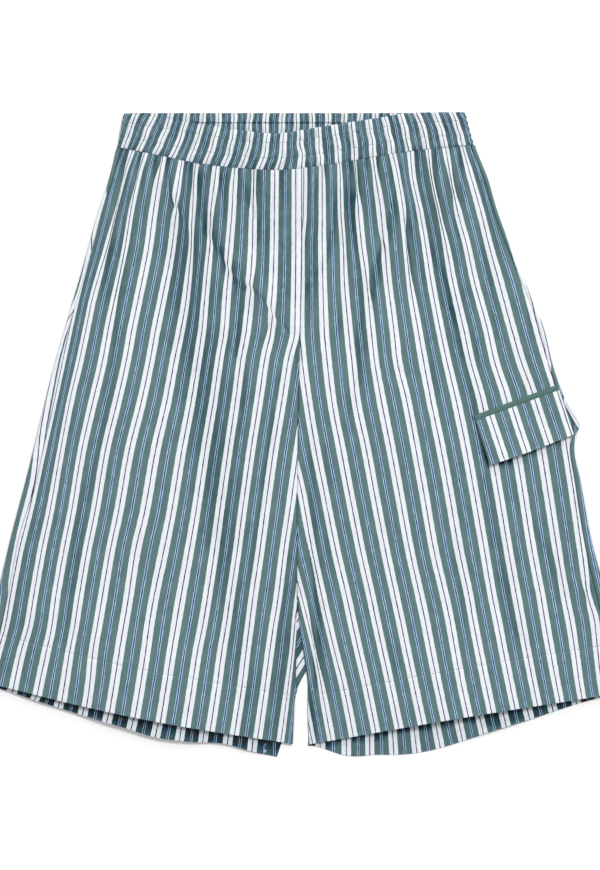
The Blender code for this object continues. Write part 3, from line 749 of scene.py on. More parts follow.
def cloth_piece(name, points, count, along, material, wall=CLOTH_WALL, shade=None):
    """A sheet of cloth through a grid of points, with its own grid as UV map and its painted shade."""
    shade = np.zeros(points.shape[:2]) if shade is None else shade
    points, count, along, shade = (with_borders(grid) for grid in (points, count, along, shade))
    rows, columns = points.shape[:2]
    numbers = np.arange(rows * columns).reshape(rows, columns)
    quads = np.stack([numbers[:-1, :-1], numbers[1:, :-1], numbers[1:, 1:], numbers[:-1, 1:]], axis=-1)
    quads = quads.reshape(-1, 4)
    mesh = bpy.data.meshes.new(name)
    mesh.from_pydata(points.reshape(-1, 3).tolist(), [], quads.tolist())
    grid = np.stack([count * REPEAT * MM, along * MM], axis=-1).reshape(-1, 2)
    uv = mesh.uv_layers.new(name="cloth")
    uv.data.foreach_set("uv", grid[quads.reshape(-1)].reshape(-1).astype(np.float32))
    # The 'fold' attribute holds painted shade, which the striped cotton turns into darker colour.
    fold = mesh.attributes.new("fold", "FLOAT", "POINT")
    fold.data.foreach_set("value", shade.reshape(-1).astype(np.float32))
    mesh.shade_smooth()
    mesh.materials.append(material)
    piece = bpy.data.objects.new(name, mesh)
    bpy.context.scene.collection.objects.link(piece)
    thickness = piece.modifiers.new("thickness", "SOLIDIFY")
    thickness.thickness = wall * MM
    thickness.offset = 0.0
    return piece


def cut_size(piece):
    """Width, length and area of the flat cloth in a piece, read from its UV map, in metres."""
    mesh = piece.data
    uv = np.zeros(len(mesh.loops) * 2, dtype=np.float32)
    mesh.uv_layers["cloth"].data.foreach_get("uv", uv)
    corners = uv.reshape(-1, 4, 2).astype(float)
    across = corners[:, 2] - corners[:, 0]
    other = corners[:, 3] - corners[:, 1]
    area = float(np.abs(across[:, 0] * other[:, 1] - across[:, 1] * other[:, 0]).sum() / 2)
    size = corners.reshape(-1, 2).max(axis=0) - corners.reshape(-1, 2).min(axis=0)
    return (float(size[0]), float(size[1])), area


print("cloth pieces are", CLOTH_WALL, "mm thick")

# %% [markdown]
# ## The woven stripes
# The stripes are dyed yarns, so the pattern is the same on both faces and depends only on how far
# across the cloth a thread lies. A Color Ramp with sharp stops holds one repeat: half a white
# stripe with a dark thread at its middle, green, the blue group with two pale threads, and green
# again. Noise drawn out along the threads lets the edges of the stripes wander a little, and gives
# the yarns faint streaks and a slightly uneven dye.

# %% Small helpers for shader nodes
def new_group(name, inputs, outputs):
    """An empty node group with named sockets, and its two end nodes."""
    group = bpy.data.node_groups.new(name, "ShaderNodeTree")
    for title, kind, value in inputs:
        socket = group.interface.new_socket(title, in_out="INPUT", socket_type=kind)
        if value is not None:
            socket.default_value = value
    for title, kind in outputs:
        group.interface.new_socket(title, in_out="OUTPUT", socket_type=kind)
    return group, group.nodes.new("NodeGroupInput"), group.nodes.new("NodeGroupOutput")


def node(tree, kind, links=(), **settings):
    """Add a node, set its properties, and link or fill its inputs."""
    made = tree.nodes.new(kind)
    for name, value in settings.items():
        setattr(made, name, value)
    for socket, source in dict(links).items():
        if isinstance(source, bpy.types.NodeSocket):
            tree.links.new(source, made.inputs[socket])
        else:
            made.inputs[socket].default_value = source
    return made


def colour(red, green, blue):
    """A colour given as it looks on paper, 0 to 255, turned into light."""
    light = [((c / 255 + 0.055) / 1.055) ** 2.4 if c > 10 else c / 255 / 12.92 for c in (red, green, blue)]
    return (*light, 1.0)


WHITE = colour(220, 224, 231)
MAUVE = colour(64, 58, 72)
GREEN = colour(90, 117, 117)
TEAL_BLUE = colour(79, 107, 125)
DEEP_BLUE = colour(34, 68, 113)
PALE_BLUE = colour(176, 199, 222)
TRIM_GREEN = colour(78, 108, 103)
print("white yarn reflects", [round(c, 2) for c in WHITE[:3]])

# %% Node group: woven stripes
Yarn = namedtuple("Yarn", "starts colour")
STRIPES = (
    Yarn(0.0, MAUVE),
    Yarn(0.021, WHITE),
    Yarn(0.192, GREEN),
    Yarn(0.420, TEAL_BLUE),
    Yarn(0.446, PALE_BLUE),
    Yarn(0.475, DEEP_BLUE),
    Yarn(0.525, PALE_BLUE),
    Yarn(0.554, TEAL_BLUE),
    Yarn(0.580, GREEN),
    Yarn(0.808, WHITE),
    Yarn(0.979, MAUVE),
)

stripes, stripes_in, stripes_out = new_group(
    "woven stripes",
    (("Cloth", "NodeSocketVector", None), ("Repeat", "NodeSocketFloat", REPEAT * MM),
     ("Streaks", "NodeSocketFloat", 0.06)),
    (("Color", "NodeSocketColor"),),
)
place_on_cloth = node(stripes, "ShaderNodeSeparateXYZ", {0: stripes_in.outputs["Cloth"]})
repeats = node(stripes, "ShaderNodeMath", {0: place_on_cloth.outputs["X"], 1: stripes_in.outputs["Repeat"]},
               operation="DIVIDE")
EDGE_WANDER = 0.036
drawn_out = node(stripes, "ShaderNodeMapping", {0: stripes_in.outputs["Cloth"], "Scale": (1.0, 0.2, 1.0)})
wander_noise = node(stripes, "ShaderNodeTexNoise", {0: drawn_out.outputs[0], "Scale": 900.0})
wandered = node(stripes, "ShaderNodeMath", {0: wander_noise.outputs[0], 1: EDGE_WANDER,
                2: repeats.outputs[0]}, operation="MULTIPLY_ADD")
centred = node(stripes, "ShaderNodeMath", {0: wandered.outputs[0], 1: EDGE_WANDER / 2}, operation="SUBTRACT")
phase = node(stripes, "ShaderNodeMath", {0: centred.outputs[0]}, operation="FRACT")
ramp = node(stripes, "ShaderNodeValToRGB", {0: phase.outputs[0]})
ramp.color_ramp.interpolation = "CONSTANT"
while len(ramp.color_ramp.elements) < len(STRIPES):
    ramp.color_ramp.elements.new(0.5)
for element, yarn in zip(ramp.color_ramp.elements, STRIPES):
    element.position = yarn.starts
    element.color = yarn.colour
stretched = node(stripes, "ShaderNodeMapping", {0: stripes_in.outputs["Cloth"], "Scale": (1.0, 0.02, 1.0)})
streak_noise = node(stripes, "ShaderNodeTexNoise", {0: stretched.outputs[0], "Scale": 2600.0, "Detail": 2.0})
streak_low = node(stripes, "ShaderNodeMath", {0: 1.0, 1: stripes_in.outputs["Streaks"]},
                  operation="SUBTRACT")
streak_high = node(stripes, "ShaderNodeMath", {0: 1.0, 1: stripes_in.outputs["Streaks"]}, operation="ADD")
streak = node(stripes, "ShaderNodeMapRange", {"Value": streak_noise.outputs[0], "From Min": 0.3,
              "From Max": 0.7, "To Min": streak_low.outputs[0], "To Max": streak_high.outputs[0]})
streaked = node(stripes, "ShaderNodeVectorMath", {0: ramp.outputs["Color"], "Scale": streak.outputs[0]},
                operation="SCALE")
dye_noise = node(stripes, "ShaderNodeTexNoise", {0: drawn_out.outputs[0], "Scale": 420.0, "Detail": 3.0})
dye = node(stripes, "ShaderNodeVectorMath", {0: dye_noise.outputs["Color"], 1: (0.36, 0.26, 0.28),
           2: (0.82, 0.87, 0.86)}, operation="MULTIPLY_ADD")
dyed = node(stripes, "ShaderNodeVectorMath", {0: streaked.outputs[0], 1: dye.outputs[0]},
            operation="MULTIPLY")
stripes.links.new(dyed.outputs[0], stripes_out.inputs["Color"])
print("one repeat has", len(STRIPES), "bands of yarn")

# %% [markdown]
# ## Shade in the folds
# The bottom of a fold sees little of the sky, and what light gets there has bounced off green
# cloth, so it comes out darker and a touch greener. That shade is painted into the colour here. Each
# point of the cloth carries a number called 'fold', the amount of painted shade: 0 on open cloth, 1
# at the bottom of a deep hollow and more inside the leg mouths. This group turns it into painted
# shade, and adds faint clouds of the same painted shade, where the cloth lies a little less than
# flat. White yarn is shaded less than dark yarn, because light bounces about between white walls.

# %% Node group: fold shade
FOLD_SHADE_TINT = (0.30, 0.43, 0.48)
DARKEST = (0.06, 0.09, 0.11)
MOST_SHADE = 3.0
folds, folds_in, folds_out = new_group(
    "fold shade",
    (("Color", "NodeSocketColor", None), ("Cloth", "NodeSocketVector", None),
     ("Fold", "NodeSocketFloat", 0.0), ("Clouds", "NodeSocketFloat", 0.36)),
    (("Color", "NodeSocketColor"),),
)
long_way = node(folds, "ShaderNodeMapping", {0: folds_in.outputs["Cloth"], "Scale": (1.0, 0.45, 1.0)})
cloud_noise = node(folds, "ShaderNodeTexNoise", {0: long_way.outputs[0], "Scale": 150.0, "Detail": 3.0})
shade_cloud = node(folds, "ShaderNodeMapRange", {"Value": cloud_noise.outputs[0], "From Min": 0.38,
             "From Max": 0.78, "To Min": 0.0, "To Max": folds_in.outputs["Clouds"]})
in_all = node(folds, "ShaderNodeMath", {0: folds_in.outputs["Fold"], 1: shade_cloud.outputs[0]}, operation="ADD")
together = node(folds, "ShaderNodeMath", {0: in_all.outputs[0], 1: MOST_SHADE}, operation="MINIMUM")
lightness = node(folds, "ShaderNodeVectorMath", {0: folds_in.outputs["Color"], 1: (0.3, 0.6, 0.1)},
                 operation="DOT_PRODUCT")
spared = node(folds, "ShaderNodeMath", {0: lightness.outputs["Value"], 1: -1.28, 2: 1.1},
              operation="MULTIPLY_ADD", use_clamp=True)
deepness = node(folds, "ShaderNodeMath", {0: together.outputs[0], 1: spared.outputs[0]},
                operation="MULTIPLY")
loss = node(folds, "ShaderNodeVectorMath", {0: tuple(1 - part for part in FOLD_SHADE_TINT),
            "Scale": deepness.outputs[0]}, operation="SCALE")
left_over = node(folds, "ShaderNodeVectorMath", {0: (1.0, 1.0, 1.0), 1: loss.outputs[0]},
                 operation="SUBTRACT")
kept = node(folds, "ShaderNodeVectorMath", {0: left_over.outputs[0], 1: DARKEST}, operation="MAXIMUM")
shaded = node(folds, "ShaderNodeVectorMath", {0: folds_in.outputs["Color"], 1: kept.outputs[0]},
              operation="MULTIPLY")
folds.links.new(shaded.outputs[0], folds_out.inputs["Color"])
print("the deepest folds keep", FOLD_SHADE_TINT, "of the red, green and blue light")

# %% [markdown]
# ## The weave
# A plain weave passes each thread over one and under the next, every third of a millimetre. From
# a hand's length away that is only a fine tooth on the surface. Two crossed waves on the cloth's
# grid make it, and a slow noise adds the slubs and soft dents of washed cotton. The group also puts
# out a shade that goes with the slubs, for the roughness of the cloth and the flecks of the trim.

# %% Node group: plain weave
THREAD_EVERY = 0.00042
weave, weave_in, weave_out = new_group(
    "plain weave",
    (("Cloth", "NodeSocketVector", None), ("Thread", "NodeSocketFloat", THREAD_EVERY),
     ("Slubs", "NodeSocketFloat", 0.5)),
    (("Height", "NodeSocketFloat"), ("Shade", "NodeSocketFloat")),
)
thread_turn = node(weave, "ShaderNodeMath", {0: math.pi, 1: weave_in.outputs["Thread"]}, operation="DIVIDE")
turned = node(weave, "ShaderNodeVectorMath", {0: weave_in.outputs["Cloth"], "Scale": thread_turn.outputs[0]},
              operation="SCALE")
turns = node(weave, "ShaderNodeSeparateXYZ", {0: turned.outputs[0]})
over = node(weave, "ShaderNodeMath", {0: turns.outputs["X"]}, operation="SINE")
under = node(weave, "ShaderNodeMath", {0: turns.outputs["Y"]}, operation="SINE")
crossing = node(weave, "ShaderNodeMath", {0: over.outputs[0], 1: under.outputs[0]}, operation="MULTIPLY")
slub_noise = node(weave, "ShaderNodeTexNoise", {0: weave_in.outputs["Cloth"], "Scale": 340.0, "Detail": 3.0})
slub = node(weave, "ShaderNodeMath", {0: slub_noise.outputs[0], 1: weave_in.outputs["Slubs"]},
            operation="MULTIPLY")
height = node(weave, "ShaderNodeMath", {0: crossing.outputs[0], 1: 0.5, 2: slub.outputs[0]},
              operation="MULTIPLY_ADD")
shade = node(weave, "ShaderNodeMapRange", {"Value": slub_noise.outputs[0], "From Min": 0.25,
             "From Max": 0.75, "To Min": 0.78, "To Max": 0.92})
weave.links.new(height.outputs[0], weave_out.inputs["Height"])
weave.links.new(shade.outputs[0], weave_out.inputs["Shade"])
print("the weave has a thread every", round(THREAD_EVERY / MM, 2), "mm")

# %% [markdown]
# ## Cotton, trim and thread
# Washed cotton is matt, with the faintest sheen where its fibres catch the light at a low angle.
# The striped cotton and the plain green trim share the weave and differ in their colour, and only
# the striped cotton takes the painted shade of the folds.
# The sewing thread is smoother, so it is a little glossier than the cloth around it.

# %% Cotton and trim
def cotton(name, striped, plain_colour=None):
    """Matt cotton, striped or plain."""
    material = bpy.data.materials.new(name)
    material.use_nodes = True
    tree = material.node_tree
    shader = tree.nodes["Principled BSDF"]
    shader.inputs["Sheen Weight"].default_value = 0.06
    shader.inputs["Sheen Roughness"].default_value = 0.5
    shader.inputs["Specular IOR Level"].default_value = 0.25
    cloth_map = node(tree, "ShaderNodeUVMap", uv_map="cloth")
    grain = node(tree, "ShaderNodeGroup", node_tree=weave)
    tree.links.new(cloth_map.outputs[0], grain.inputs["Cloth"])
    if striped:
        pattern = node(tree, "ShaderNodeGroup", node_tree=stripes)
        tree.links.new(cloth_map.outputs[0], pattern.inputs["Cloth"])
        # Painted shade: the 'fold' attribute darkens the stripes through the fold shade group.
        fold = node(tree, "ShaderNodeAttribute", attribute_name="fold")
        painted_fold_shade = node(tree, "ShaderNodeGroup", node_tree=folds)
        tree.links.new(pattern.outputs["Color"], painted_fold_shade.inputs["Color"])
        tree.links.new(cloth_map.outputs[0], painted_fold_shade.inputs["Cloth"])
        tree.links.new(fold.outputs["Fac"], painted_fold_shade.inputs["Fold"])
        tree.links.new(painted_fold_shade.outputs["Color"], shader.inputs["Base Color"])
    else:
        speckle = node(tree, "ShaderNodeMapRange", {"Value": grain.outputs["Shade"], "From Min": 0.78,
                       "From Max": 0.92, "To Min": 0.9, "To Max": 1.1})
        flecked = node(tree, "ShaderNodeVectorMath", {0: plain_colour[:3], "Scale": speckle.outputs[0]},
                       operation="SCALE")
        tree.links.new(flecked.outputs[0], shader.inputs["Base Color"])
    tree.links.new(grain.outputs["Shade"], shader.inputs["Roughness"])
    bump = node(tree, "ShaderNodeBump", {"Height": grain.outputs["Height"], "Strength": 0.35,
                "Distance": 0.00015})
    tree.links.new(bump.outputs[0], shader.inputs["Normal"])
    return material


striped_cotton = cotton("striped cotton", True)
plain_trim = cotton("plain green trim", False, TRIM_GREEN)
print("cloth materials:", striped_cotton.name, "and", plain_trim.name)

# %% Sewing thread
def thread(name, tint):
    """Sewing thread, with a soft gloss and a slight change of shade along the seam."""
    material = bpy.data.materials.new(name)
    material.use_nodes = True
    tree = material.node_tree
    shader = tree.nodes["Principled BSDF"]
    shader.inputs["Roughness"].default_value = 0.55
    noise = node(tree, "ShaderNodeTexNoise", {"Scale": 300.0})
    tone = node(tree, "ShaderNodeMapRange", {"Value": noise.outputs[0], "To Min": 0.8, "To Max": 1.2})
    tinted = node(tree, "ShaderNodeVectorMath", {0: tint[:3], "Scale": tone.outputs[0]}, operation="SCALE")
    tree.links.new(tinted.outputs[0], shader.inputs["Base Color"])
    return material


green_thread = thread("green thread", colour(96, 116, 120))
# The dark thread also stands for the shade in the crease along the inside row of stitching.
dark_thread_in_shade = thread("dark thread", colour(30, 46, 52))
print("thread materials:", green_thread.name, "and", dark_thread_in_shade.name)

# %% [markdown]
# ## The front panels
# Each front is one panel from the waistband's seam to the hem, and from the side seam to the
# centre seam and inseam. Columns are closer together than rows, because nearly all of the small
# folds run down the leg. Only at the hem's stitching are the rows close, to shape its groove.

# %% Fronts
UPPER_ROWS, LOWER_ROWS, PANEL_COLUMNS = ((76, 50, 350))
UPPER_SHARE = 0.42
HEM_LINE_SHARES, HEM_LINE_ROWS = (0.903, 0.923), 14
fronts = {}
for side in ("right", "left"):
    u = np.linspace(0, 1, PANEL_COLUMNS)[None, :]
    upper = np.linspace(0, UPPER_SHARE, UPPER_ROWS)[:-1]
    at_stitches = np.linspace(*HEM_LINE_SHARES, HEM_LINE_ROWS)
    v = np.unique(np.concatenate((upper, np.linspace(UPPER_SHARE, 1, LOWER_ROWS), at_stitches)))[:, None]
    across, drop = front_place(side, u, v)
    count, height, shade = front_surface(side, across, drop, np.broadcast_to(u, across.shape))
    piece = cloth_piece("front_panel_" + side, place(across, drop, height), count, drop, striped_cotton,
                        shade=shade)
    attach(piece, "root")
    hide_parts("front_" + side)
    fronts[side] = piece
    print(piece.name, "is cut", [round(s, 3) for s in cut_size(piece)[0]], "m, area",
          round(cut_size(piece)[1], 3))

# %% [markdown]
# ## The back panels
# The backs lie on the table with their wrong side up, seen only at the leg mouths, at the fork and
# inside the waist. At each side they roll up round the edge and come in a little over the front,
# to the side seam. The section is a flat run, half a circle, and a short strip on top.
#
# The stripes go on round the edge from the side seam. Inside the leg mouths the cloth of the hem
# is turned up and lies a little askew, so its stripes have a table of their own: how many repeats
# they are shifted, and how much they lean. The mouths are painted dark inside, as the shadow of the
# front, most at the front's hem.

# %% Stripes along the seams of the backs
BackRun = namedtuple("BackRun", "drop phase")
BACK_AT_SEAM = {
    "right": (
        BackRun(33, 0.60),
        BackRun(68, 0.62),
        BackRun(80, 0.78),
        BackRun(112, 0.84),
        BackRun(126, 0.96),
        BackRun(140, 1.06),
        BackRun(172, 1.12),
        BackRun(188, 1.00),
        BackRun(204, 0.80),
        BackRun(216, 0.76),
        BackRun(292, 0.76),
        BackRun(345, 0.94),
        BackRun(368, 1.00),
        BackRun(406, 1.09),
        BackRun(443, 1.12),
        BackRun(460, 1.20),
        BackRun(500, 1.30),
        BackRun(560, 1.40),
    ),
    "left": (
        BackRun(33, 0.56),
        BackRun(100, 0.60),
        BackRun(131, 0.72),
        BackRun(157, 0.81),
        BackRun(177, 0.90),
        BackRun(190, 0.98),
        BackRun(200, 1.07),
        BackRun(240, 1.10),
        BackRun(248, 1.22),
        BackRun(265, 1.36),
        BackRun(274, 1.70),
        BackRun(279, 1.76),
        BackRun(284, 1.73),
        BackRun(289, 1.71),
        BackRun(295, 1.62),
        BackRun(301, 1.36),
        BackRun(308, 1.16),
        BackRun(320, 1.22),
        BackRun(349, 1.26),
        BackRun(560, 1.32),
    ),
}
FORK_LINE = (0.5, 522.0)
FORK_GRAIN = (0.844, 0.537)
FORK_COUNT = 11.0
print("stripes are set at", [len(rows) for rows in BACK_AT_SEAM.values()], "places down the seams")

# %% Hems and leg mouths of the backs
HEM_RISES = {"right": ((-252, 34, 2.6), (-178, 38, 4.6), (-118, 34, 3.6), (-62, 22, 2.4)),
             "left": ((205, 40, 1.8),)}
MouthShade = namedtuple("MouthShade", "deep fade least more from_across")
MOUTH_SHADES = {
    "right": MouthShade(2.6, 0.045, 13.0, 9.0, -195.0),
    "left": MouthShade(1.95, 0.03, 9.8, 8.0, 150.0),
}
HEM_GRAIN_LEVEL = 4.3
HemGrain = namedtuple("HemGrain", "across shift lean")
HEM_GRAIN = {
    "right": (
        HemGrain(-300, -0.40, 0.22),
        HemGrain(-135, -0.41, 0.20),
        HemGrain(-114, -0.365, 0.17),
        HemGrain(-92, -0.285, 0.15),
        HemGrain(-69, -0.265, 0.12),
        HemGrain(-33, -0.265, 0.08),
        HemGrain(-30, -0.64, 0.0),
        HemGrain(-16, -0.64, 0.0),
    ),
    "left": (
        HemGrain(18, 0.58, 0.0),
        HemGrain(44, 0.65, 0.0),
        HemGrain(66, 0.59, 0.02),
        HemGrain(87, 0.53, 0.06),
        HemGrain(108, 0.405, 0.12),
        HemGrain(129, 0.285, 0.20),
        HemGrain(150, 0.20, 0.24),
        HemGrain(172, 0.06, 0.24),
        HemGrain(215, 0.0, 0.24),
        HemGrain(300, 0.0, 0.24),
    ),
}
print("inside the mouths the stripes shift by up to",
      max(abs(row.shift) for rows in HEM_GRAIN.values() for row in rows), "of a repeat")

# %% Stripes and shade of a back
def back_count(side, on_flat, across, drop, from_seam, from_turn, below_front):
    """Stripe count of a back: even from its seam, on its own grain in the hem and at the fork."""
    count = column(BACK_AT_SEAM[side], "phase", drop) + from_seam / REPEAT
    shift, lean = (column(HEM_GRAIN[side], name, across) for name in ("shift", "lean"))
    skewed = ease((below_front + 34.0) / 26.0) * ease((from_turn - 4.0) / 30.0)
    askew = shift + lean * (below_front - HEM_GRAIN_LEVEL) / REPEAT
    count = count + np.where(on_flat, skewed, 0) * askew
    if side == "left":
        pulled = ease((drop - 270.0) / 6.0) * ease((306.0 - drop) / 6.0)
        return count + pulled * np.clip(from_seam, 0, 8.0) / REPEAT
    away_x, away_y = across - FORK_LINE[0], drop - FORK_LINE[1]
    at_fork = FORK_COUNT + (away_x * FORK_GRAIN[0] + away_y * FORK_GRAIN[1]) / REPEAT
    near_fork = ease((across + 24.0) / 14.0) * ease((drop - 440.0) / 30.0) * ease((596.0 - drop) / 24.0)
    return blend(count, at_fork, np.where(on_flat, near_fork, 0))


def back_shade(side, stage, across, drop, seam, below_front):
    """Painted shade of a back: under the front at the fork, in the side seam, and inside the leg mouth."""
    in_fork = 1.0 - 0.4 * ease((drop - 490.0) / 50.0)
    in_fork = in_fork * ease((drop - 420.0) / 40.0) * ease((600.0 - drop) / 40.0)
    side_seam_shade = 0.8 * np.exp(-(((across - seam) / 0.8) ** 2))
    mouth = MOUTH_SHADES[side]
    reach = mouth.least + mouth.more * ease((across - mouth.from_across) / 40.0) + 1.5 * np.sin(across / 9.0)
    uneven = 0.9 + 0.1 * np.sin(across / 14.0 + 1.0)
    in_mouth = mouth.deep * uneven * (1 - mouth.fade * np.clip(below_front, 0, 12.0))
    under_front = ease((below_front + 12) / 10)
    in_mouth = in_mouth * under_front * ease((reach - below_front) / 6)
    in_mouth = np.maximum(in_mouth, 0.35 * under_front)
    return np.where(stage == 0, np.maximum(in_fork, in_mouth), np.where(stage == 2, side_seam_shade, 0.0))


print("the deepest shade inside the mouths is", {side: mouth.deep for side, mouth in MOUTH_SHADES.items()})

# %% Backs
ROLL_RADIUS = (SIDE_HEIGHT - BACK_HEIGHT) / 2
ROLL_LENGTH = math.pi * ROLL_RADIUS


def back_section(flat, roll, strip):
    """Shares of the three runs of a back's section: flat, round the edge, and on top."""
    stages = [(0, t) for t in np.linspace(0, 1, flat)]
    stages += [(1, t) for t in np.linspace(0, 1, roll + 1)[1:]]
    stages += [(2, t) for t in np.linspace(0, 1, strip + 1)[1:]]
    return np.array(stages)


def back_grid(side, rows):
    """Points, stripe count, drop and painted shade of a back panel."""
    section = back_section(*(((120, 12, 5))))
    stage, t = section[:, 0][None, :], section[:, 1][None, :]
    outward = -1.0 if side == "right" else 1.0
    to_side = np.where(stage == 0, t, 1.0)
    v = np.linspace(0, 1, rows)[:, None]
    side_top = column(BAND, "seam", column(EDGES, side + "_seam", BAND_SIDE_DROP)) + SEAM_GAP
    middle_top = (BAND[0].seam + BAND[-1].seam) / 2 + SEAM_GAP
    hem = hem_drop("back_" + side, 1 - to_side)
    drop = blend(blend(middle_top, side_top, to_side), hem, v)
    inner = column(FORK, side + "_back", drop)
    seam = column(EDGES, side + "_seam", drop)
    strip_end = seam + outward * SEAM_GAP
    turn = column(EDGES, side + "_fold", drop) - outward * (ROLL_RADIUS + CLOTH_WALL / 2)
    flat_across = blend(inner, turn, t)
    roll_across = turn + outward * ROLL_RADIUS * np.sin(np.pi * t)
    strip_across = blend(turn, strip_end, t)
    across = np.where(stage == 0, flat_across, np.where(stage == 1, roll_across, strip_across))
    rolled = BACK_HEIGHT + ROLL_RADIUS * (1 - np.cos(np.pi * t))
    height = np.where(stage == 0, BACK_HEIGHT, np.where(stage == 1, rolled, SIDE_HEIGHT))
    loose = np.where(stage == 0, np.sin(np.pi * np.clip(t, 0, 1)), 0)
    height = height + loose * (0.5 + 0.5 * np.sin(across / 23.0 + drop / 90.0)) * 0.7
    for across_there, reach, rise in HEM_RISES[side]:
        rise = rise * np.exp(-(((across - across_there) / reach) ** 2)) * (1 - ease((hem - drop) / 40.0))
        height = height + np.where(stage == 0, rise, 0)
    height = height - 0.7 * np.where(stage == 2, np.exp(-np.abs(across - strip_end) / 1.0), 0)
    from_turn, strip_width = np.abs(turn - across), np.abs(turn - strip_end)
    from_seam = np.where(stage == 2, np.abs(across - strip_end), np.where(
        stage == 1, strip_width + (1 - t) * ROLL_LENGTH, strip_width + ROLL_LENGTH + from_turn))
    front_share = np.clip((across - seam) / (column(FORK, side + "_front", drop) - seam), 0, 1)
    below_front = drop - hem_drop("front_" + side, front_share)
    count = back_count(side, stage == 0, across, drop, from_seam, from_turn, below_front)
    shade = back_shade(side, stage, across, drop, strip_end, below_front)
    return place(across, drop, height), count, drop, shade


backs = {}
for side in ("right", "left"):
    points, count, drop, shade = back_grid(side, 150)
    piece = cloth_piece("back_panel_" + side, points, count, drop, striped_cotton, shade=shade)
    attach(piece, "root")
    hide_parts("back_" + side)
    backs[side] = piece
    print(piece.name, "is cut", [round(s, 3) for s in cut_size(piece)[0]], "m, area",
          round(cut_size(piece)[1], 3))

# %% [markdown]
# ## The waistband
# The waistband is a casing with elastic inside, gathered so that two stripes take the room of
# about one and a half. The front half arches over the back and wraps down round both sides to
# meet it. The gathers are ribs that run with the stripes, pinched in by rows of stitching, with
# shade painted between them.

# %% Runs of the stripes on the waistband
BandRun = namedtuple("BandRun", "white top upper lower seam")
BAND_RUNS = (
    BandRun(-1, -171.6, -175.4, -178.8, -182.6),
    BandRun(0, -155.8, -159.6, -162.9, -166.7),
    BandRun(1, -138.7, -144.0, -148.2, -153.0),
    BandRun(2, -123.5, -127.3, -132.0, -137.3),
    BandRun(3, -108.3, -112.1, -115.9, -121.6),
    BandRun(4, -93.1, -96.4, -100.7, -105.0),
    BandRun(5, -77.9, -81.2, -84.6, -89.3),
    BandRun(6, -62.7, -64.6, -67.5, -72.2),
    BandRun(7, -46.6, -48.5, -51.3, -56.0),
    BandRun(8, -30.9, -32.3, -34.2, -39.0),
    BandRun(9, -15.2, -16.2, -17.1, -20.9),
    BandRun(10, 0.0, 0.2, 1.9, 1.4),
    BandRun(11, 17.1, 17.4, 18.6, 19.3),
    BandRun(12, 32.3, 34.2, 36.1, 36.6),
    BandRun(13, 48.5, 49.7, 51.3, 51.5),
    BandRun(14, 64.6, 66.5, 68.4, 69.2),
    BandRun(15, 79.8, 82.6, 85.3, 87.0),
    BandRun(16, 95.0, 98.3, 100.7, 103.0),
    BandRun(17, 110.2, 115.0, 117.8, 119.7),
    BandRun(18, 127.3, 131.6, 134.9, 137.2),
    BandRun(19, 143.9, 148.2, 151.0, 153.6),
    BandRun(20, 160.0, 164.6, 168.0, 171.0),
)
BackBandRun = namedtuple("BackBandRun", "white top lean")
BACK_BAND_RUNS = (
    BackBandRun(-1, -171.0, 0.26),
    BackBandRun(0, -155.3, 0.24),
    BackBandRun(1, -137.8, 0.22),
    BackBandRun(2, -122.8, 0.16),
    BackBandRun(3, -107.2, 0.12),
    BackBandRun(4, -91.2, 0.16),
    BackBandRun(5, -77.0, 0.06),
    BackBandRun(6, -62.7, 0.0),
    BackBandRun(7, -47.3, 0.08),
    BackBandRun(8, -32.2, 0.04),
    BackBandRun(9, -16.2, 0.08),
    BackBandRun(10, -3.0, 0.04),
    BackBandRun(11, 11.4, 0.0),
    BackBandRun(12, 26.6, 0.0),
    BackBandRun(13, 41.8, 0.0),
    BackBandRun(14, 57.0, 0.0),
    BackBandRun(15, 71.2, -0.04),
    BackBandRun(16, 88.6, -0.12),
    BackBandRun(18, 121.0, -0.3),
    BackBandRun(20, 154.0, -0.4),
)
print(len(BAND_RUNS), "white stripes on the front of the waistband,", len(BACK_BAND_RUNS), "on the back")

# %% Stripes and gathers of the waistband
BAND_WALL = 1.0
BAND_LENGTH = 34.0
GATHERED_REPEAT = 16.0
TOP_ROLL = 0.8
BAND_TUCK = 2.0
STITCH_ROWS = (0.27, 0.68)


def band_turn(side, drop):
    """Where the waistband begins to turn round its side edge."""
    outward = -1 if side == "right" else 1
    scallop = 0.9 * np.sin(drop * 0.55 + 0.6)
    return column(EDGES, side + "_fold", drop) - outward * (
        (BAND_SIDE_HEIGHT - BAND_BACK_HEIGHT + 2.2) / 2 + np.abs(scallop))


def band_count(across, v):
    """Stripe count on the front waistband, with small kinks where the stitching pulls."""
    lines = []
    for row in BAND_RUNS:
        line = through((0, 1 / 3, 2 / 3, 1), (row.top, row.upper, row.lower, row.seam), v)
        kink = 0.45 * math.sin(row.white * 2.4) * np.sin(v * 11.0 + row.white)
        lines.append(line + kink * np.sin(np.pi * v))
    return count_between([row.white for row in BAND_RUNS], lines, across)


def back_band_count(across, drop):
    """Stripe count on the back waistband."""
    lines = [row.top - row.lean * drop + 0.3 * np.sin(drop / 3.0 + row.white) for row in BACK_BAND_RUNS]
    return count_between([row.white for row in BACK_BAND_RUNS], lines, across)


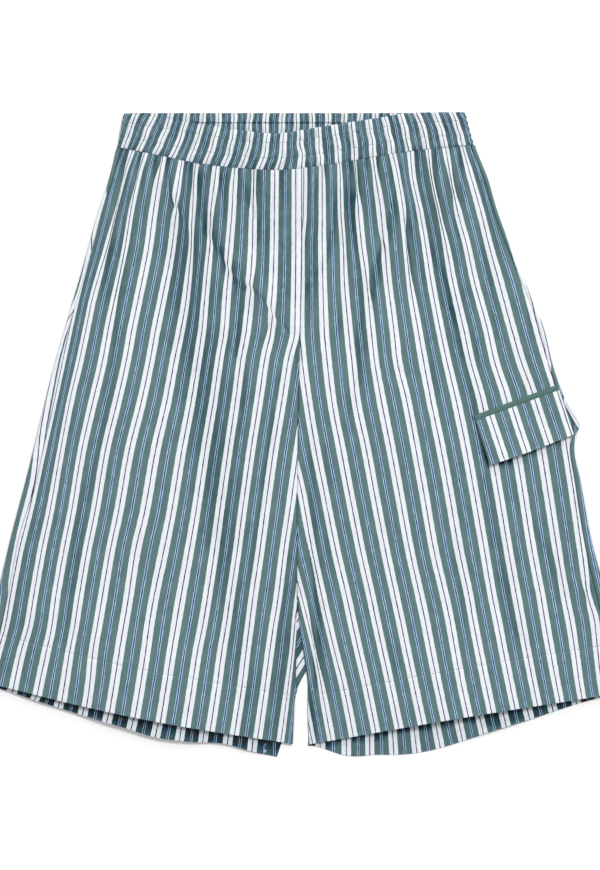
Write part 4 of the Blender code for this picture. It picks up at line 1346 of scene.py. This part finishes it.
def band_shade(count, v):
    """Painted shade between the ribs of the casing, in a fine mottle, along its stitching and in short dark
    marks at its lower seam.
    """
    between = 0.5 - 0.5 * np.cos(2 * np.pi * (count * 2 + 0.5 + 0.3 * np.sin(count * 1.7 + v * 4)))
    uneven = 0.55 + 0.45 * np.sin(count * 2.3 + 3.0 * np.sin(v * 3.0 + count * 0.7))
    dent_shade = np.sin(count * 11.3 + 2.0 * np.sin(v * 9.0)) * np.sin(v * 17.0 + 4.0 * np.sin(count * 2.7))
    speck_shade = np.sin(count * 37.0 + 3.0 * np.sin(v * 23.0)) * np.sin(v * 41.0 + 2.0 * np.sin(count * 13.0))
    shade = 0.42 + 0.5 * between**2 * uneven + 0.32 * dent_shade + 0.22 * speck_shade
    at_stitches = sum(np.exp(-(((v - row) / 0.022) ** 2)) for row in STITCH_ROWS)
    notch_shade = np.exp(-((1 - v) / 0.06)) * (0.5 + 0.5 * np.sin(count * 7.1 + np.sin(count * 3.0)))
    return np.clip(shade + 0.2 * at_stitches + 0.9 * notch_shade, 0, 1)


def ribs(count, v):
    """Puckers of the gathered casing, pinched flat at the stitching and at both edges."""
    pinch = np.ones(np.shape(v))
    for row in (0.0, *STITCH_ROWS, 1.0):
        pinch = pinch * (1 - 0.6 * np.exp(-(((v - row) / 0.05) ** 2)))
    wave = np.cos(2 * np.pi * (count * 2 + 0.16 * np.sin(count * 1.7 + v * 4)))
    wave = wave + 0.4 * np.cos(2 * np.pi * (count * 3.3 + 0.2 * np.sin(v * 5 + count)))
    uneven = 0.8 + 0.3 * np.sin(count * 2.9 + 1.0)
    return 0.8 * wave * uneven * pinch


print("gathers stand", round(float(ribs(np.linspace(4, 8, 200), np.full(200, 0.5)).max()), 2), "mm high")

# %% Front waistband
def band_front_grid(columns, rows, end_columns):
    """Points, stripe count, drop and painted shade of the front waistband, round both its ends."""
    u = np.linspace(0, 1, columns)[None, :]
    v = np.linspace(0, 1, rows)[:, None]
    place_in_row = np.minimum(u, 1 - u) * (columns - 1)
    top_share = np.clip((u * (columns - 1) - end_columns) / (columns - 1 - 2 * end_columns), 0, 1)
    across = blend(band_turn("right", 0.0), band_turn("left", 0.0), top_share) + 0 * v
    for _ in range(5):
        drop = blend(column(BAND, "top", across) + TOP_ROLL, column(BAND, "seam", across), v)
        across = blend(band_turn("right", drop), band_turn("left", drop), top_share)
    radius = (BAND_SIDE_HEIGHT - BAND_BACK_HEIGHT) / 2
    angle = np.pi * np.clip(place_in_row - 1, 0, None) / (end_columns - 1)
    outward = np.where(u < 0.5, -1.0, 1.0)
    on_end = place_in_row < end_columns
    flat_part = BAND_TUCK * np.clip(1 - place_in_row, 0, None)
    end_across = across + outward * (radius * np.sin(angle) - flat_part)
    end_height = BAND_BACK_HEIGHT + radius * (1 - np.cos(angle))
    count = band_count(across, v)
    count = np.where(on_end, count + outward * radius * (np.pi - angle) / GATHERED_REPEAT, count)
    low_edge = -0.5 * np.exp(-(1 - v) * BAND_LENGTH / 1.2) - 0.4 * np.exp(-v * BAND_LENGTH / 1.0)
    top_height = band_height(across) + ribs(count, v + 0 * across) + low_edge
    height = np.where(on_end, end_height + 0.3 * ribs(count, v + 0 * across), top_height)
    height = np.maximum(height, BAND_WALL / 2 + 0.02)
    shade = band_shade(count, v + 0 * across)
    return place(np.where(on_end, end_across, across), drop, height), count, drop, shade


band_columns, band_rows, band_ends = ((520, 36, 14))
points, count, drop, shade = band_front_grid(band_columns, band_rows, band_ends)
waist_front = cloth_piece("waist_casing_front", points, count, drop, striped_cotton, BAND_WALL, shade)
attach(waist_front, "root")
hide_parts("waistband_front")
print(waist_front.name, "is cut", [round(s, 3) for s in cut_size(waist_front)[0]], "m")

# %% Back waistband
INSIDE_STITCHES, INSIDE_LENGTH = 10.0, 31.6
v = np.linspace(0, 1, 30)[:, None]
u = np.linspace(0, 1, 360)[None, :]
drop = blend(TOP_ROLL, blend(BAND[0].seam, BAND[-1].seam, u), v)
across = blend(band_turn("right", drop) + BAND_TUCK + SEAM_GAP + 0.6,
               band_turn("left", drop) - BAND_TUCK - SEAM_GAP - 0.6, u)
back_count = back_band_count(across, drop)
height = np.maximum(BAND_BACK_HEIGHT + ribs(back_count, v + 0 * u), BAND_WALL / 2 + 0.02)
# Painted shade of the crease along the inside row of stitching.
shade = band_shade(back_count, v + 0 * u) + 1.2 * np.exp(-(((drop - INSIDE_STITCHES) / 0.6) ** 2))
waist_back = cloth_piece("waist_casing_back", place(across, drop, height), back_count, drop,
                         striped_cotton, BAND_WALL, np.clip(shade, 0, 1.6))
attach(waist_back, "root")
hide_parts("waistband_back")
print("waistband cut length:", round(cut_size(waist_front)[0][0] + cut_size(waist_back)[0][0], 3), "m")

# %% [markdown]
# ## The pocket flap
# The flap hangs from a narrow plain strip on the left leg. Its stripes are cut straight and don't
# match the leg's. It follows the front it lies on, moved out by a little more than its thickness,
# and its loose edge stands off further, which gives it its shadow. A painted shadow on the front,
# listed with the hollows, darkens it along the flap's left and lower edges.

# %% Flap
FLAP_ACROSS, FLAP_DROP = 166.5, 293.0
FLAP_WIDTH, FLAP_LENGTH = 84.0, 44.0
FLAP_CLIMB, FLAP_LEAN = math.radians(20.3), math.radians(17.8)
FLAP_WALL, FLAP_CLEARANCE = 0.9, 1.2
FLAP_FIRST_WHITE, FLAP_REPEAT = 14.4, 22.5


def pocket_place(along, down):
    """Across and drop on the flap, from its inner top corner."""
    across = FLAP_ACROSS + along * math.cos(FLAP_CLIMB) + down * math.sin(FLAP_LEAN)
    drop = FLAP_DROP - along * math.sin(FLAP_CLIMB) + down * math.cos(FLAP_LEAN)
    return across, drop


def pocket_grid(along, down, stand_off):
    """Points of a pocket piece that lies on the left front."""
    across, drop = pocket_place(along, down)
    under = lying_height("left", across, drop) + 0.5 * drape(across, drop)
    return place(across, drop, under + FLAP_CLEARANCE + stand_off)


along = np.linspace(0, FLAP_WIDTH, 120)[None, :]
down = np.linspace(0, FLAP_LENGTH, 60)[:, None]
share = down / FLAP_LENGTH
bow = 1.2 * np.sin(np.pi * along / FLAP_WIDTH) * share**2
stand_off = 0.3 + (3.4 - 1.0 * along / FLAP_WIDTH) * share * (0.55 + 0.45 * ease((along + 2.0) / 16.0))
stand_off = stand_off + 0.5 * np.sin(along / 11.0) * share
stand_off = stand_off + 0.35 * np.exp(-(FLAP_LENGTH - down) / 1.5)
along, down = np.broadcast_arrays(along, down)
flap = cloth_piece("pocket_flap_cloth", pocket_grid(along, down + bow, stand_off),
                   (along - FLAP_FIRST_WHITE) / FLAP_REPEAT, down, striped_cotton, FLAP_WALL)
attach(flap, "root")
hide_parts("pocket_flap")
print("flap is cut", [round(s, 3) for s in cut_size(flap)[0]], "m")

# %% Strip along the top of the flap
WELT_WIDTH = 5.0
along = np.linspace(0, FLAP_WIDTH, 120)[None, :]
down = np.linspace(-SEAM_GAP - WELT_WIDTH, -SEAM_GAP, 9)[:, None]
rounded = 0.4 * np.sin(np.pi * (down + SEAM_GAP + WELT_WIDTH) / WELT_WIDTH)
along, down = np.broadcast_arrays(along, down)
welt = cloth_piece("pocket_strip", pocket_grid(along, down, rounded), along / REPEAT, down,
                   plain_trim, FLAP_WALL)
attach(welt, "root")
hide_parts("pocket_welt")
print("strip is cut", [round(s, 3) for s in cut_size(welt)[0]], "m")

# %% [markdown]
# ## Stitching
# Stitches are real little objects here: each is a short rounded bar of thread that dips into the
# cloth at both ends. One helper lays them along any line of points, and each row is one mesh.

# %% One row of stitches
STITCH_LENGTH, STITCH_PITCH, STITCH_WIDTH = 2.1, 2.9, 0.4


def stitch_row(name, line, material, width=STITCH_WIDTH):
    """A row of stitches along a line of points in metres."""
    line = np.asarray(line)
    travelled = np.concatenate(([0], np.cumsum(np.linalg.norm(np.diff(line, axis=0), axis=1)))) / MM
    vertices, faces = [], []
    starts = np.arange(0.5, travelled[-1] - STITCH_LENGTH, STITCH_PITCH)
    for start in starts:
        stops = start + STITCH_LENGTH * np.array([0.0, 0.2, 0.5, 0.8, 1.0])
        middle = np.stack([np.interp(stops, travelled, line[:, axis]) for axis in range(3)], axis=1)
        middle[:, 2] += np.array([-0.12, 0.1, 0.16, 0.1, -0.12]) * MM
        forward = middle[-1] - middle[0]
        beside = np.cross(forward / np.linalg.norm(forward), (0, 0, 1)) * width / 2 * MM
        first = len(vertices)
        for centre, size in zip(middle, (0.5, 1.0, 1.0, 1.0, 0.5)):
            for turn in range(6):
                angle = turn * math.pi / 3
                up = np.array([0, 0, math.sin(angle) * size * width / 2 * MM])
                vertices.append(centre + beside * math.cos(angle) * size + up)
        for ring in range(4):
            for turn in range(6):
                a, b = first + ring * 6 + turn, first + ring * 6 + (turn + 1) % 6
                faces.append((a, b, b + 6, a + 6))
        faces.append(tuple(first + turn for turn in range(5, -1, -1)))
        faces.append(tuple(first + 24 + turn for turn in range(6)))
    mesh = bpy.data.meshes.new(name)
    mesh.from_pydata([tuple(map(float, v)) for v in vertices], [], faces)
    mesh.shade_smooth()
    mesh.materials.append(material)
    row = bpy.data.objects.new(name, mesh)
    bpy.context.scene.collection.objects.link(row)
    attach(row, "root")
    print(name, "has", len(starts), "stitches")
    return row


print("a stitch is", STITCH_LENGTH, "mm long, and the next begins", STITCH_PITCH, "mm on")

# %% Stitches on the hems and the waistband
rows_on = {"right": [], "left": []}
for side in ("right", "left"):
    u = np.linspace(0.004, 0.99, 300)
    across, drop = front_place(side, u, np.ones(len(u)))
    for _ in range(3):
        drop = hem_drop("front_" + side, u) - HEM_DEPTH
        across = blend(column(EDGES, side + "_seam", drop), column(FORK, side + "_front", drop), u)
    count, height, _ = front_surface(side, across, drop, u)
    line = place(across, drop, height + CLOTH_WALL / 2 + 0.12)
    rows_on[side].append(stitch_row("hem_stitches_" + side, line, green_thread))

MID_BAND, END_GAP = 10.0, 2.0
for number, v_row in enumerate(STITCH_ROWS):
    first, last = (float(band_turn(side, MID_BAND)) for side in ("right", "left"))
    across = np.linspace(first + END_GAP, last - END_GAP, 500)
    drop = blend(column(BAND, "top", across), column(BAND, "seam", across), v_row)
    count = band_count(across, np.full(len(across), v_row))
    height = band_height(across) + ribs(count, np.full(len(across), v_row)) + BAND_WALL / 2
    line = place(across, drop, height)
    stitch_row(f"casing_stitches_{number + 1}", line, green_thread)
across = np.linspace(-112, 46, 300)
drop = np.full(len(across), INSIDE_STITCHES)
height = BAND_BACK_HEIGHT + ribs(back_band_count(across, drop), (drop - TOP_ROLL) / INSIDE_LENGTH)
line = place(across, drop, height + BAND_WALL / 2 + 0.2)
# This row is dark and twice as wide because it also stands for the shade in its crease.
inside_row = stitch_row("casing_stitches_inside", line, dark_thread_in_shade, 0.8)

# %% [markdown]
# Each sheet of cloth shows how it was cut before it was sewn. Its width, length and area come from
# its UV map, which holds the flat cloth, so a gathered panel is printed with the fullness that
# the gathers hide.

# %% Printing the cut sizes of the sheets
def declare(piece, layers=1):
    """Print the size that a piece of cloth was cut to."""
    (width, length), area = cut_size(piece)
    print(f"{piece.name}: {width:.3f} x {length * layers:.3f} m, {area:.4f} square metres show")


for side in ("right", "left"):
    declare(backs[side])
    declare(fronts[side])
declare(waist_back)
declare(waist_front)
declare(flap)
declare(welt, layers=2.2)

# %% [markdown]
# ## Table, light and camera
# The shorts lie on a plain white table under a broad soft light. The main light hangs above and to
# the upper right, so that flaps and hems drop their small shadows down and to the left. A weak low
# light from the waist end draws those shadows out. The camera looks straight down from far enough
# that the garment shows without distortion.

# %% Table
TABLE_HALF = 4
floor_mesh = bpy.data.meshes.new("table")
floor_corners = [(x * TABLE_HALF, y * TABLE_HALF, 0) for x, y in ((-1, -1), (1, -1), (1, 1), (-1, 1))]
floor_mesh.from_pydata(floor_corners, [], [(0, 1, 2, 3)])
floor = bpy.data.objects.new("table", floor_mesh)
bpy.context.scene.collection.objects.link(floor)
floor_material = bpy.data.materials.new("white table")
floor_material.use_nodes = True
floor_shader = floor_material.node_tree.nodes["Principled BSDF"]
floor_shader.inputs["Base Color"].default_value = (0.9, 0.9, 0.9, 1.0)
floor_shader.inputs["Roughness"].default_value = 0.9
floor_shader.inputs["Specular IOR Level"].default_value = 0.1
floor_mesh.materials.append(floor_material)
print("table top at height", floor.location.z)

# %% Light
world = bpy.context.scene.world or bpy.data.worlds.new("studio")
bpy.context.scene.world = world
world.use_nodes = True
world.node_tree.nodes["Background"].inputs["Color"].default_value = (1.0, 1.0, 1.0, 1.0)
world.node_tree.nodes["Background"].inputs["Strength"].default_value = 0.40


def soft_light(name, location, size, watts):
    """A square soft box that looks at the middle of the shorts."""
    lamp = bpy.data.lights.new(name, "AREA")
    lamp.shape = "SQUARE"
    lamp.size = size
    lamp.energy = watts
    holder = bpy.data.objects.new(name, lamp)
    holder.location = location
    holder.rotation_mode = "QUATERNION"
    holder.rotation_quaternion = (-Vector(location)).to_track_quat("-Z", "Y")
    bpy.context.scene.collection.objects.link(holder)
    return holder


soft_light("main light", (2.0, 3.0, 4.7), 1.7, 252.0)
soft_light("fill light", (-2.2, -1.0, 4.2), 3.0, 44.0)
soft_light("low light", (0.4, 3.2, 1.6), 1.2, 36.0)

# %% Camera
SENSOR_MM, LENS_MM = 36.0, 85.0
VIEW_LENGTH, VIEW_DROP = 0.8265, 306.4
camera_data = bpy.data.cameras.new("camera")
camera_data.sensor_fit = "AUTO"
camera_data.sensor_width = SENSOR_MM
camera_data.lens = LENS_MM
camera = bpy.data.objects.new("camera", camera_data)
camera.location = (MIDDLE * MM, (TOP - VIEW_DROP) * MM, VIEW_LENGTH * LENS_MM / SENSOR_MM)
bpy.context.scene.collection.objects.link(camera)
bpy.context.scene.camera = camera
bpy.context.scene.view_settings.view_transform = "Standard"
print("camera", round(camera.location.z, 3), "m above the table")
